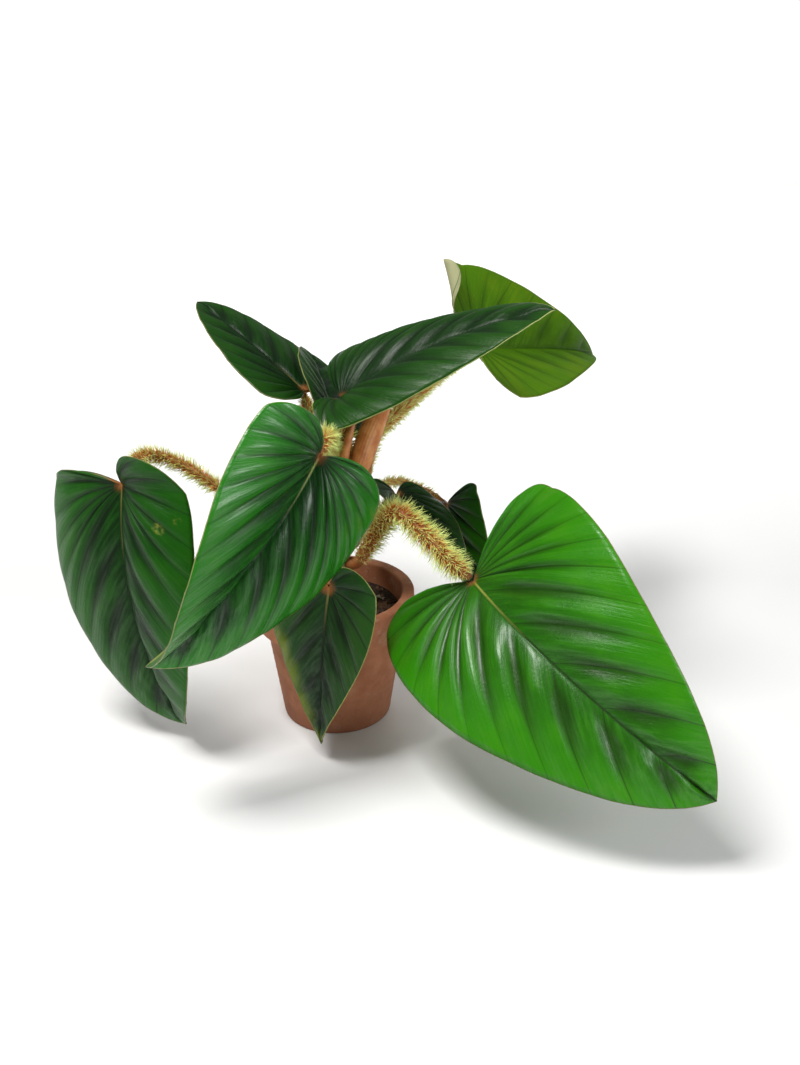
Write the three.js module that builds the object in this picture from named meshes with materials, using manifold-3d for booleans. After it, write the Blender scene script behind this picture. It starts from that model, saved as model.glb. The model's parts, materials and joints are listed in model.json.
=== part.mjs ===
import * as THREE from 'three';
import { mergeVertices } from 'three/addons/utils/BufferGeometryUtils.js';
import Module from 'manifold-3d';

// Potted Philodendron serpens: ten heart-shaped leaves on bristly stalks, on a short stem in a clay pot.
// Lengths are millimetres and angles are degrees. +Z is up and -Y is the front.
// The origin is the middle of the pot's underside.

const POT_HEIGHT = 115;
const POT_RIM_DIAMETER = 134;
const POT_BASE_DIAMETER = 92;
const POT_WALL = 6;
const POT_FLOOR = 8;
const POT_SIDES = 40;
const RIM_BAND_HEIGHT = 28;
const RIM_BAND_STEP = 4;
const EDGE_ROUND = 2;
const DRAIN_HOLE_DIAMETER = 10;
const DRAIN_CIRCLE_RADIUS = 24;
const DRAIN_HOLE_COUNT = 3;

const SOIL_LEVEL = 98;
const SOIL_LUMP_HEIGHT = 4;
const SOIL_RINGS = 7;
const SOIL_SIDES = 36;
const STEM_SOCKET_DEPTH = 34;

const STEM_RADIUS = 11;
const STEM_TIP_RADIUS = 8;
const STEM_TOP = 226;
const STEM_LEAN_X = 14;
const STEM_LEAN_Y = -5;
const STEM_SIDES = 12;
const NODE_SPACING = 15;
const NODE_SWELLING = 1.2;

const BLADE_THICKNESS = 0.8;
const MIDRIB_DEPTH = 2;
const BASE_RIB_DEPTH = 0.6;
const BASE_RIB_REACH = 16;
const QUILT_RISE = 0.9;

const STALK_RADIUS = 4.2;
const STALK_FOOT_RADIUS = 5.4;
const STALK_NECK_RADIUS = 2.6;
const STALK_SIDES = 6;
const BRISTLE_LENGTH = 10;
const BRISTLE_WIDTH = 1.5;
const BRISTLE_SPACING = 12;
const BRISTLE_LEAN = 22;
const BRISTLE_CLEARANCE = 1.4;
const SEATING_REACH = 10;

const SHEATH_THICKNESS = 1;

// Pieces that touch keep this much air between their faceted surfaces.
const SEAT_GAP = 0.35;

const SEED = 20;

// Half of a leaf's outline, from the notch round the basal lobe to the tip. The first number runs along
// the midrib as a share of its length, the second across it as a share of the half width.
const HALF_OUTLINE = [
  [0, 0], [0, 0.1], [-0.04, 0.18], [-0.085, 0.33], [-0.108, 0.5], [-0.1, 0.68], [-0.065, 0.84],
  [0, 0.94], [0.08, 0.99], [0.17, 1], [0.27, 0.985], [0.38, 0.93], [0.5, 0.83],
  [0.62, 0.71], [0.74, 0.565], [0.84, 0.41], [0.92, 0.245], [0.965, 0.12], [1, 0],
];
const TYPICAL_WIDTH_SHARE = 0.37;
const BARE_RIB_SHARE = 0.11;
const VEIN_SLANT = 1.5;
const VEIN_BOW = 0.1;

// An unrolled blade turns its upper face this way: to the front and 25 degrees up.
const FACING_TILT = 25;

// Each leaf runs from its attach point to its tip. Pairs are for the right and the left half, seen from
// above with the tip ahead. fold lifts a half at the midrib, curl bends it back down over its width, arch
// bends the midrib, lobe lengthens a basal lobe, lobeSweep shifts it inward and taper slims the tip half,
// later and more sharply when its power is above 1.
// stalk scales a stalk's thickness and bristles. It leaves the stem at stemHeight, toward stemBearing
// (0 is +X and 90 is +Y), and passes through the via points.
const LEAVES = [
  {
    name: 'front_right',
    attach: [112, -70, 159],
    tip: [280, -221, 60],
    halfWidth: [96, 102],
    arch: 74,
    roll: 16,
    twist: -12,
    sideBow: -0.02,
    fold: [22, 1],
    curl: [20, 11],
    lobe: [1.2, 0.85],
    lobeLift: 4,
    lobeSweep: [-0.15, -0.3],
    taper: 0.1,
    veins: 12,
    stemHeight: 142,
    stemBearing: -25,
    via: [[51, -19, 195], [75, -40, 184], [98, -61, 168]],
  },
  {
    name: 'front_left',
    attach: [-5, -76, 266],
    tip: [-133, -147, 126],
    halfWidth: [77, 68],
    arch: 17,
    roll: -27,
    twist: 34,
    sideBow: -0.045,
    fold: [50, 37],
    curl: [67, 67],
    lobe: [0.74, 0.6],
    lobeLift: 2,
    lobeSweep: [0.24, 0.34],
    taper: -0.26,
    veins: 12,
    stemHeight: 206,
    stemBearing: -160,
    via: [[-3, -9, 244], [-2, -30, 262], [-3, -54, 271]],
  },
  {
    name: 'far_left',
    attach: [-164, -34, 225],
    tip: [-125, -54, 15],
    halfWidth: [80, 81],
    arch: 42,
    roll: 48,
    twist: -1,
    sideBow: 0,
    fold: [31, 26],
    curl: [41, 74],
    lobe: [0.4, 1.25],
    lobeLift: 35,
    lobeSweep: [-0.1, 0.15],
    taper: -0.1,
    veins: 11,
    stalk: 0.8,
    stemHeight: 172,
    stemBearing: 175,
    via: [[-59, 3, 182], [-97, 10, 206], [-126, 15, 223], [-147, 7, 234], [-157, -12, 236]],
  },
  {
    name: 'upper_right',
    attach: [8, 21, 277],
    tip: [174, -6, 359],
    halfWidth: [63, 80],
    arch: 18,
    roll: -50,
    twist: 2,
    sideBow: -0.05,
    fold: [46, 31],
    foldChange: [-29, -38],
    curl: [69, 69],
    lobe: [1.15, 0.6],
    lobeLift: -15,
    lobeSweep: [1.3, -0.5],
    taper: -0.1,
    veins: 12,
    stemHeight: 214,
    stemBearing: 100,
    via: [[11, 3, 240], [9, 4, 258], [7, 14, 270]],
  },
  {
    name: 'upper_left',
    attach: [-27, 84, 264],
    tip: [-128, 174, 317],
    halfWidth: [52, 52],
    arch: 10,
    roll: 50,
    twist: 0,
    sideBow: -0.01,
    fold: [15, 18],
    curl: [48, 20],
    lobe: [1, 0.95],
    lobeLift: 11,
    lobeSweep: [0, 0.1],
    taper: 0.05,
    veins: 9,
    stalk: 0.85,
    stemHeight: 192,
    stemBearing: 135,
    via: [[-10, 42, 218], [-21, 68, 242]],
  },
  {
    name: 'young',
    attach: [124, 132, 287],
    tip: [244, 248, 244],
    halfWidth: [75, 80],
    arch: 35,
    archPower: 2.1,
    roll: -14,
    twist: 0,
    sideBow: 0.015,
    fold: [38, 15],
    curl: [17, 17],
    lobe: [0.95, 2.05],
    lobeLift: 12,
    lobeSweep: [0.15, -0.45],
    taper: 0.6,
    tuck: { from: 0.12, turn: 150, radius: 0.03 },
    veins: 10,
    stemHeight: 212,
    stemBearing: 30,
    via: [[32, 18, 243], [53, 49, 256], [85, 91, 272], [109, 120, 282]],
  },
  {
    name: 'low_front',
    attach: [-1, -71, 153],
    tip: [-10, -82, 14],
    halfWidth: [55, 42],
    arch: 28,
    roll: 17,
    twist: -25,
    sideBow: 0,
    fold: [9, 11],
    curl: [38, 27],
    lobe: [1.23, 1.26],
    lobeLift: 9,
    lobeSweep: [-0.07, 0.49],
    taper: 0.76,
    taperPower: 2.9,
    veins: 9,
    stalk: 0.8,
    stemHeight: 121,
    stemBearing: -95,
    via: [[-1, -28, 142], [-1, -53, 160]],
  },
  {
    name: 'inner_right',
    attach: [96, 85, 157],
    tip: [149, 54, 66],
    halfWidth: [41, 41],
    arch: 58,
    roll: 49,
    twist: -3,
    sideBow: 0,
    fold: [-6, 5],
    curl: [26, 21],
    lobe: [1, 0.95],
    lobeLift: -23,
    lobeSweep: [0.1, -0.35],
    taper: 0.15,
    veins: 8,
    stalk: 0.55,
    stemHeight: 184,
    stemBearing: 60,
    via: [[31, 49, 186], [36, 63, 183], [48, 85, 178], [59, 98, 172], [71, 101, 166], [84, 99, 160]],
  },
  {
    name: 'rear_right',
    attach: [52, 58, 178],
    tip: [105, -36, 155],
    halfWidth: [34, 40],
    arch: 3,
    roll: -59,
    twist: 0,
    sideBow: 0,
    fold: [20, 17],
    curl: [19, 20],
    lobe: [0.8, 1.15],
    lobeLift: 11,
    lobeSweep: [0.1, 0.25],
    taper: 0.1,
    veins: 8,
    stalk: 0.7,
    stemHeight: 152,
    stemBearing: 40,
    via: [[24, 32, 158], [38, 50, 166]],
  },
  {
    name: 'back',
    attach: [0, 51, 255],
    tip: [-26, 133, 282],
    halfWidth: [48, 48],
    arch: 13,
    roll: 67,
    twist: 5,
    sideBow: -0.02,
    fold: [15, 18],
    curl: [22, 14],
    lobe: [1.4, 1.6],
    lobeLift: -23,
    lobeSweep: [-0.4, 0.3],
    taper: 0.1,
    veins: 8,
    stalk: 0.85,
    stemHeight: 200,
    stemBearing: 90,
    via: [[8, 24, 225], [3, 36, 245]],
  },
];

// The papery sheaths at the stem's tip: the open one that the young stalk came out of, and the next bud.
const SHEATHS = [
  {
    name: 'sheath_open',
    route: [[17, -13, 216], [23, -10, 232], [31, 2, 252], [41, 21, 270], [51, 38, 282]],
    width: 21,
    wrap: 150,
    opening: [-0.3, 1, -0.2],
  },
  {
    name: 'sheath_bud',
    route: [[5, -13.5, 214], [8, -14, 232], [12, -9, 250], [19, 0, 270]],
    width: 8,
    wrap: 200,
    opening: [0.6, 1, 0],
  },
];

const wasm = await Module();
wasm.setup();

function radians(degrees) {
  return THREE.MathUtils.degToRad(degrees);
}

function vector(list) {
  return new THREE.Vector3(...list);
}

// A repeatable stream of numbers from 0 to 1.
function randomStream(seed) {
  let state = seed * 7919 + 17;
  return () => {
    state = (state * 16807) % 2147483647;
    return state / 2147483647;
  };
}

function indexedGeometry(points, triangles) {
  const geometry = new THREE.BufferGeometry();
  geometry.setAttribute('position', new THREE.Float32BufferAttribute(points.flatMap((p) => p.toArray()), 3));
  geometry.setIndex(triangles.flat());
  return geometry;
}

// Merges shared vertices and drops the triangles that collapse on an axis or a pole.
function closedGeometry(geometry) {
  geometry.deleteAttribute('normal');
  geometry.deleteAttribute('uv');
  const merged = mergeVertices(geometry, 1e-3);
  const index = merged.index.array;
  const kept = [];
  for (let i = 0; i < index.length; i += 3) {
    const [a, b, c] = index.slice(i, i + 3);
    if (a !== b && b !== c && c !== a) {
      kept.push(a, b, c);
    }
  }
  merged.setIndex(kept);
  return merged;
}

function toManifold(geometry) {
  const closed = closedGeometry(geometry);
  return new wasm.Manifold(new wasm.Mesh({
    numProp: 3,
    vertProperties: new Float32Array(closed.attributes.position.array),
    triVerts: new Uint32Array(closed.index.array),
  }));
}

function fromManifold(solid) {
  const mesh = solid.getMesh();
  const geometry = new THREE.BufferGeometry();
  geometry.setAttribute('position', new THREE.BufferAttribute(new Float32Array(mesh.vertProperties), 3));
  geometry.setIndex(new THREE.BufferAttribute(new Uint32Array(mesh.triVerts), 1));
  return geometry;
}

// Turned solids are drawn with Y as their axis and then stood up.
function turned(profile, sides) {
  const lathe = new THREE.LatheGeometry(profile.map(([r, z]) => new THREE.Vector2(r, z)), sides);
  lathe.rotateX(Math.PI / 2);
  return closedGeometry(lathe);
}

function outerRadiusAt(z) {
  const top = POT_RIM_DIAMETER / 2 - RIM_BAND_STEP;
  return THREE.MathUtils.lerp(POT_BASE_DIAMETER / 2, top, z / POT_HEIGHT);
}

function innerRadiusAt(z) {
  return outerRadiusAt(z) - POT_WALL;
}

function buildPot() {
  const bandFoot = POT_HEIGHT - RIM_BAND_HEIGHT;
  const bandRadius = POT_RIM_DIAMETER / 2;
  const shell = turned([
    [0, 0],
    [outerRadiusAt(0) - EDGE_ROUND, 0],
    [outerRadiusAt(0), EDGE_ROUND],
    [outerRadiusAt(bandFoot), bandFoot],
    [bandRadius - EDGE_ROUND / 2, bandFoot + EDGE_ROUND / 2],
    [bandRadius, bandFoot + EDGE_ROUND * 2],
    [bandRadius, POT_HEIGHT - EDGE_ROUND],
    [bandRadius - EDGE_ROUND, POT_HEIGHT],
    [innerRadiusAt(POT_HEIGHT) + EDGE_ROUND, POT_HEIGHT],
    [innerRadiusAt(POT_HEIGHT), POT_HEIGHT - EDGE_ROUND],
    [innerRadiusAt(POT_FLOOR), POT_FLOOR],
    [0, POT_FLOOR],
  ], POT_SIDES);
  let solid = toManifold(shell);
  for (let i = 0; i < DRAIN_HOLE_COUNT; i++) {
    const bearing = (2 * Math.PI * (i + 0.5)) / DRAIN_HOLE_COUNT;
    const drill = new THREE.CylinderGeometry(DRAIN_HOLE_DIAMETER / 2, DRAIN_HOLE_DIAMETER / 2, 3 * POT_FLOOR, 16);
    drill.rotateX(Math.PI / 2);
    drill.translate(DRAIN_CIRCLE_RADIUS * Math.cos(bearing), DRAIN_CIRCLE_RADIUS * Math.sin(bearing), 0);
    solid = solid.subtract(toManifold(drill));
  }
  return fromManifold(solid);
}

// The mix fills the pot and has a blind hole for the stem. Its top is broken up into lumps.
function buildSoil() {
  const hole = STEM_RADIUS + 0.6;
  const foot = POT_FLOOR + SEAT_GAP;
  const rim = innerRadiusAt(SOIL_LEVEL) - SEAT_GAP;
  const profile = [[0, SOIL_LEVEL - STEM_SOCKET_DEPTH], [hole, SOIL_LEVEL - STEM_SOCKET_DEPTH]];
  for (let i = 0; i <= SOIL_RINGS; i++) {
    profile.push([THREE.MathUtils.lerp(hole, rim, i / SOIL_RINGS), SOIL_LEVEL]);
  }
  profile.push([innerRadiusAt(foot) - SEAT_GAP, foot], [0, foot]);
  const soil = turned(profile.reverse(), SOIL_SIDES);
  const random = randomStream(SEED);
  const position = soil.attributes.position;
  for (let i = 0; i < position.count; i++) {
    const radius = Math.hypot(position.getX(i), position.getY(i));
    const onTop = position.getZ(i) > SOIL_LEVEL - 1;
    if (onTop && radius < rim - 1) {
      position.setZ(i, SOIL_LEVEL + (random() - 0.35) * SOIL_LUMP_HEIGHT);
    }
  }
  return soil;
}

function stemAxis() {
  const bottom = SOIL_LEVEL - STEM_SOCKET_DEPTH + SEAT_GAP;
  return new THREE.CatmullRomCurve3([
    new THREE.Vector3(0, 0, bottom),
    new THREE.Vector3(0, 0, SOIL_LEVEL + SOIL_LUMP_HEIGHT),
    new THREE.Vector3(STEM_LEAN_X * 0.45, STEM_LEAN_Y * 0.45, (SOIL_LEVEL + STEM_TOP) / 2),
    new THREE.Vector3(STEM_LEAN_X, STEM_LEAN_Y, STEM_TOP),
  ], false, 'centripetal');
}

function ringFrames(curve, count) {
  const { tangents, normals, binormals } = curve.computeFrenetFrames(count, false);
  return tangents.map((tangent, i) => ({
    centre: curve.getPointAt(i / count),
    tangent,
    normal: normals[i],
    binormal: binormals[i],
  }));
}

function ringPoint(frame, radius, angle) {
  return frame.centre.clone()
    .addScaledVector(frame.normal, radius * Math.cos(angle))
    .addScaledVector(frame.binormal, radius * Math.sin(angle));
}

// A closed tube through the frames. fillQuad may replace a side's two triangles with relief of its own.
function tube(frames, sides, radiusAt, fillQuad) {
  const points = [];
  const triangles = [];
  frames.forEach((frame, i) => {
    for (let k = 0; k < sides; k++) {
      points.push(ringPoint(frame, radiusAt(i / (frames.length - 1)), (2 * Math.PI * k) / sides));
    }
  });
  const at = (i, k) => i * sides + (k % sides);
  for (let i = 0; i < frames.length - 1; i++) {
    for (let k = 0; k < sides; k++) {
      const corners = [at(i, k), at(i, k + 1), at(i + 1, k + 1), at(i + 1, k)];
      const filled = fillQuad && fillQuad(points, triangles, corners, frames, i);
      if (!filled) {
        const [a, b, c, d] = corners;
        triangles.push([a, b, c], [a, c, d]);
      }
    }
  }
  const last = frames.length - 1;
  const footCentre = points.push(frames[0].centre.clone()) - 1;
  const headCentre = points.push(frames[last].centre.clone()) - 1;
  for (let k = 0; k < sides; k++) {
    triangles.push([footCentre, at(0, k + 1), at(0, k)], [headCentre, at(last, k), at(last, k + 1)]);
  }
  return indexedGeometry(points, triangles);
}

// The stem swells at each old leaf scar and rounds off at its growing tip.
function buildStem(axis) {
  const length = axis.getLength();
  const radiusAt = (share) => {
    const along = share * length;
    const base = THREE.MathUtils.lerp(STEM_RADIUS, STEM_TIP_RADIUS, share);
    const buried = along < STEM_SOCKET_DEPTH + SOIL_LUMP_HEIGHT;
    const swelling = buried ? 0 : NODE_SWELLING * Math.cos((2 * Math.PI * along) / NODE_SPACING);
    const fromTip = length - along;
    const rounding = fromTip < STEM_TIP_RADIUS ? Math.sqrt(Math.max(0.12, fromTip / STEM_TIP_RADIUS)) : 1;
    return (base + swelling) * rounding;
  };
  const rings = Math.round(length / 4);
  return tube(ringFrames(axis, rings), STEM_SIDES, radiusAt);
}

// The midrib is bent in the blade's own plane of symmetry. Its length and its chord's angle follow.
function midribProfile(leaf) {
  const steps = 60;
  const arch = radians(leaf.arch);
  const power = leaf.archPower ?? 1;
  const along = [0];
  const rise = [0];
  const angle = [0];
  for (let i = 1; i <= steps; i++) {
    const before = -arch * ((i - 1) / steps) ** power;
    const after = -arch * (i / steps) ** power;
    along.push(along[i - 1] + Math.cos((before + after) / 2) / steps);
    rise.push(rise[i - 1] + Math.sin((before + after) / 2) / steps);
    angle.push(after);
  }
  const tilt = -Math.atan2(rise[steps], along[steps]);
  const chord = Math.hypot(along[steps], rise[steps]);
  return { along, rise, angle, tilt, chord };
}

function readTable(table, share) {
  const place = THREE.MathUtils.clamp(share, 0, 1) * (table.length - 1);
  const index = Math.min(Math.floor(place), table.length - 2);
  return THREE.MathUtils.lerp(table[index], table[index + 1], place - index);
}

// Bends what lies past the tuck line round a small radius, so that the lobe's edge folds over the face.
function tuckedLobe(back, tuck) {
  const over = Math.max(0, -tuck.from - back);
  const turn = radians(tuck.turn);
  const round = Math.min(over, tuck.radius * turn);
  const straight = over - round;
  return {
    back: back + over - tuck.radius * Math.sin(round / tuck.radius) - straight * Math.cos(turn),
    rise: tuck.radius * (1 - Math.cos(round / tuck.radius)) + straight * Math.sin(turn),
  };
}

// Returns a function that places a point of the leaf's face: along the midrib and across it.
function leafPlacer(leaf) {
  const attach = vector(leaf.attach);
  const chord = vector(leaf.tip).sub(attach);
  const profile = midribProfile(leaf);
  const length = chord.length() / profile.chord;
  chord.normalize();
  const tilt = radians(FACING_TILT);
  const facing = new THREE.Vector3(0, -Math.cos(tilt), Math.sin(tilt));
  const level = facing.addScaledVector(chord, -facing.dot(chord)).normalize();
  const side = chord.clone().cross(level);
  const roll = radians(leaf.roll);
  const up = level.multiplyScalar(Math.cos(roll)).addScaledVector(side, Math.sin(roll));
  const right = chord.clone().cross(up);
  const place = (along, across) => {
    const half = across >= 0 ? 0 : 1;
    const sign = across >= 0 ? 1 : -1;
    const clamped = THREE.MathUtils.clamp(along, 0, 1);
    const behind = Math.min(along, 0);
    const foot = profile.tilt - radians(leaf.lobeLift);
    const tucks = leaf.tuck && half === 1;
    const lobe = tucks ? tuckedLobe(behind, leaf.tuck) : { back: behind, rise: 0 };
    const cos = Math.cos(profile.tilt);
    const sin = Math.sin(profile.tilt);
    const x = readTable(profile.along, clamped);
    const z = readTable(profile.rise, clamped);
    const middleX = cos * x - sin * z + lobe.back * Math.cos(foot) - lobe.rise * Math.sin(foot);
    const middleZ = sin * x + cos * z + lobe.back * Math.sin(foot) + lobe.rise * Math.cos(foot);
    const slope = readTable(profile.angle, clamped) + profile.tilt;

    const width = leaf.halfWidth[half];
    const foldChange = leaf.foldChange?.[half] ?? 0;
    const fold = radians(leaf.fold[half] + foldChange * clamped);
    const bend = Math.max(radians(leaf.curl[half]), 1e-6) / width;
    const reach = Math.abs(across) * width;
    const out = (Math.sin(fold) - Math.sin(fold - bend * reach)) / bend;
    const lift = (Math.cos(fold - bend * reach) - Math.cos(fold)) / bend;
    const sideways = sign * (out + leaf.lobeSweep[half] * behind * length);
    const twist = radians(leaf.twist) * clamped;
    const bow = leaf.sideBow * 4 * clamped * (1 - clamped) * length;
    const lateral = sideways * Math.cos(twist) - lift * Math.sin(twist) + bow;
    const height = sideways * Math.sin(twist) + lift * Math.cos(twist);
    return attach.clone()
      .addScaledVector(chord, middleX * length - height * Math.sin(slope))
      .addScaledVector(up, middleZ * length + height * Math.cos(slope))
      .addScaledVector(right, lateral);
  };
  const start = profile.tilt;
  const forward = chord.clone().multiplyScalar(Math.cos(start)).addScaledVector(up, Math.sin(start));
  const face = up.clone().multiplyScalar(Math.cos(start)).addScaledVector(chord, -Math.sin(start));
  return { place, length, forward, face, attach };
}

// Evenly spaced points of one side's outline, from the end of the bare basal rib to the tip.
function marginPoints(leaf, half, count) {
  const outline = HALF_OUTLINE.map(([along, across]) => {
    const s = along < 0 ? along * leaf.lobe[half] : along;
    const slimmed = leaf.taper * Math.max(0, along) ** (leaf.taperPower ?? 1);
    const t = across * (1 - slimmed);
    return new THREE.Vector3(s, t * TYPICAL_WIDTH_SHARE, 0);
  });
  const curve = new THREE.CatmullRomCurve3(outline, false, 'catmullrom', 0.5);
  return Array.from({ length: count + 1 }, (_, i) => {
    return curve.getPointAt(THREE.MathUtils.lerp(BARE_RIB_SHARE, 1, i / count));
  });
}

// The rays of a half leaf follow its veins: they leave the midrib aslant and bow toward the tip.
function veinPoint(margin, middle, share) {
  const bowed = (middle.x + margin.x) / 2 - VEIN_BOW * middle.distanceTo(margin);
  const control = new THREE.Vector3(bowed, (middle.y + margin.y) / 2, 0);
  return new THREE.QuadraticBezierCurve3(middle, control, margin).getPoint(share);
}

// The face's normal, from its slopes along and across. On the midrib it is the mean of both halves.
function faceNormal(place, along, across) {
  const step = 0.01;
  const slopeNormal = (start, outward) => {
    const lengthwise = place(along + step, start).sub(place(along - step, start));
    const crosswise = place(along, start + outward).sub(place(along, start));
    return lengthwise.cross(crosswise).multiplyScalar(-Math.sign(outward)).normalize();
  };
  if (across !== 0) {
    return slopeNormal(across, Math.sign(across) * step);
  }
  return slopeNormal(step, step).add(slopeNormal(-step, -step)).normalize();
}

// Joins an upper and a lower sheet with the same triangles into one thin closed solid.
function joinSheets(upper, lower, triangles) {
  const count = upper.length;
  const edges = new Map();
  for (const triangle of triangles) {
    triangle.forEach((from, k) => {
      const to = triangle[(k + 1) % 3];
      edges.set(`${from} ${to}`, [from, to]);
    });
  }
  const faces = triangles.flatMap(([a, b, c]) => [[a, b, c], [count + a, count + c, count + b]]);
  for (const [from, to] of edges.values()) {
    if (!edges.has(`${to} ${from}`)) {
      faces.push([to, from, count + from], [to, count + from, count + to]);
    }
  }
  return indexedGeometry([...upper, ...lower], faces);
}

// A blade's upper face, sunk along the veins and risen between them, with ribs thickening its underside.
function buildBlade(leaf) {
  const { place, length } = leafPlacer(leaf);
  const across = [0, 0.09, 0.36, 0.68, 1];
  const quilt = [0, 0.3, 1, 0.9, 0.1];
  const rays = 2 * leaf.veins;
  const upper = [];
  const lower = [];
  const addPoint = (s, t, rise, rib) => {
    const point = place(s, t);
    const normal = faceNormal(place, s, t);
    const distance = Math.hypot(s * length, t * leaf.halfWidth[0]);
    const baseRib = BASE_RIB_DEPTH * Math.max(0, 1 - distance / BASE_RIB_REACH);
    const thickness = BLADE_THICKNESS + baseRib + rib;
    upper.push(point.clone().addScaledVector(normal, rise));
    lower.push(point.clone().addScaledVector(normal, rise - thickness));
    return upper.length - 1;
  };
  const attach = addPoint(0, 0, 0, MIDRIB_DEPTH);
  const margins = [0, 1].map((half) => marginPoints(leaf, half, rays));
  const tip = addPoint(1, 0, 0, 0);
  const midribIndex = [];
  const middles = margins[0].map((m) => Math.max(0, Math.min(1, m.x - VEIN_SLANT * m.y)));
  middles.forEach((s, r) => {
    const fresh = s > 0 && r < rays;
    midribIndex.push(fresh ? addPoint(s, 0, 0, MIDRIB_DEPTH * (1 - s)) : r === rays ? tip : attach);
  });
  const triangles = [];
  for (const half of [0, 1]) {
    const sign = half === 0 ? 1 : -1;
    const grid = margins[half].map((margin, r) => across.map((share, j) => {
      if (j === 0) {
        return midribIndex[r];
      }
      if (r === rays) {
        return tip;
      }
      const middle = new THREE.Vector3(middles[r], 0, 0);
      const p = veinPoint(margin, middle, share);
      const rise = (r % 2 === 0 ? -1 : 1) * QUILT_RISE * quilt[j];
      return addPoint(p.x, (sign * p.y) / TYPICAL_WIDTH_SHARE, rise, 0);
    }));
    for (let r = 0; r < rays; r++) {
      for (let j = 0; j < across.length - 1; j++) {
        const [a, b, c, d] = [grid[r][j], grid[r][j + 1], grid[r + 1][j + 1], grid[r + 1][j]];
        for (const [u, v, w] of [[a, b, c], [a, c, d]]) {
          if (u !== v && v !== w && w !== u) {
            triangles.push(half === 0 ? [u, v, w] : [u, w, v]);
          }
        }
      }
    }
  }
  return joinSheets(upper, lower, triangles);
}

// A stalk starts on the stem's side and ends under the notch of its blade.
function stalkRoute(leaf, axis) {
  const height = axis.getPointAt(0).z;
  const share = (leaf.stemHeight - height) / (STEM_TOP - height);
  const centre = axis.getPointAt(share);
  const bearing = radians(leaf.stemBearing);
  const outward = new THREE.Vector3(Math.cos(bearing), Math.sin(bearing), 0);
  const stemRadius = THREE.MathUtils.lerp(STEM_RADIUS, STEM_TIP_RADIUS, share) + NODE_SWELLING;
  const foot = centre.clone().addScaledVector(outward, stemRadius + SEAT_GAP);
  const { attach, face } = leafPlacer(leaf);
  const end = attach.clone().addScaledVector(face, -BLADE_THICKNESS - MIDRIB_DEPTH / 2);
  return new THREE.CatmullRomCurve3([
    foot,
    foot.clone().addScaledVector(outward, STALK_FOOT_RADIUS).add(new THREE.Vector3(0, 0, 2)),
    ...leaf.via.map(vector),
    end,
  ], false, 'centripetal');
}

// Cuts a stalk's route where its rim comes within the seat gap of the stem and of its blade.
function seatedRoute(curve, scale, surroundings) {
  const length = curve.getLength();
  const step = 0.2;
  const rimIsClear = (distance, radius) => {
    const share = distance / length;
    const centre = curve.getPointAt(share);
    const tangent = curve.getTangentAt(share);
    const normal = new THREE.Vector3(0, 0, 1).cross(tangent).normalize();
    const frame = { centre, normal, binormal: tangent.clone().cross(normal) };
    const probes = [radius / 2, radius * 1.05].flatMap((reach) => {
      return Array.from({ length: 12 }, (_, k) => ringPoint(frame, reach, (k * Math.PI) / 6));
    });
    return [centre, ...probes].every((point) => !surroundings.touchesSurface(point, SEAT_GAP));
  };
  let start = 0;
  while (!rimIsClear(start, STALK_FOOT_RADIUS * scale)) {
    start += step;
  }
  let end = length - SEATING_REACH;
  while (end < length && rimIsClear(end, STALK_NECK_RADIUS * scale)) {
    end += step;
  }
  end = Math.max(length - SEATING_REACH, end - step);
  const pieces = Math.ceil(length / 6);
  const points = Array.from({ length: pieces + 1 }, (_, i) => {
    return curve.getPointAt(THREE.MathUtils.lerp(start, end, i / pieces) / length);
  });
  return new THREE.CatmullRomCurve3(points, false, 'centripetal');
}

function stalkRadius(share, length, scale) {
  const fromStem = share * length;
  const fromBlade = length - fromStem;
  const foot = THREE.MathUtils.smoothstep(fromStem, 0, 4 * STALK_FOOT_RADIUS);
  const neck = THREE.MathUtils.smoothstep(fromBlade, 0, 2 * STALK_RADIUS);
  const body = THREE.MathUtils.lerp(STALK_FOOT_RADIUS, STALK_RADIUS, foot);
  return scale * THREE.MathUtils.lerp(STALK_NECK_RADIUS, body, neck);
}

// Everything that a bristle has to stay clear of: the surfaces of other pieces and the other stalks.
class Surroundings {
  constructor() {
    this.surfaces = [];
    this.routes = [];
  }

  addSurface(geometry) {
    const flat = geometry.toNonIndexed().attributes.position;
    for (let i = 0; i < flat.count; i += 3) {
      const triangle = new THREE.Triangle().setFromAttributeAndIndices(flat, i, i + 1, i + 2);
      const centre = triangle.getMidpoint(new THREE.Vector3());
      const size = Math.max(...['a', 'b', 'c'].map((corner) => triangle[corner].distanceTo(centre)));
      this.surfaces.push({ triangle, centre, size });
    }
  }

  addRoute(curve) {
    this.routes.push(curve.getSpacedPoints(Math.ceil(curve.getLength() / 3)));
  }

  touchesSurface(point, clearance) {
    const nearest = new THREE.Vector3();
    return this.surfaces.some(({ triangle, centre, size }) => {
      if (centre.distanceTo(point) > size + clearance) {
        return false;
      }
      triangle.closestPointToPoint(point, nearest);
      return nearest.distanceTo(point) < clearance;
    });
  }

  isClear(point, route, clearance) {
    const gaps = this.routes.map((other) => Math.min(...other.map((p) => p.distanceTo(point))));
    const ownIsNearest = gaps.every((gap, i) => i === route || gap > gaps[route] + clearance);
    return ownIsNearest && !this.touchesSurface(point, clearance);
  }

  // The longest bristle, of a few lengths, that keeps clear of its neighbours.
  clearLength(root, direction, full, route) {
    for (const share of [1, 0.8, 0.6, 0.4]) {
      const length = full * share;
      const probes = [0.15, 0.5, 0.8, 1].map((s) => root.clone().addScaledVector(direction, s * length));
      if (probes.every((probe) => this.isClear(probe, route, BRISTLE_CLEARANCE))) {
        return length;
      }
    }
    return 0;
  }
}

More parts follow.
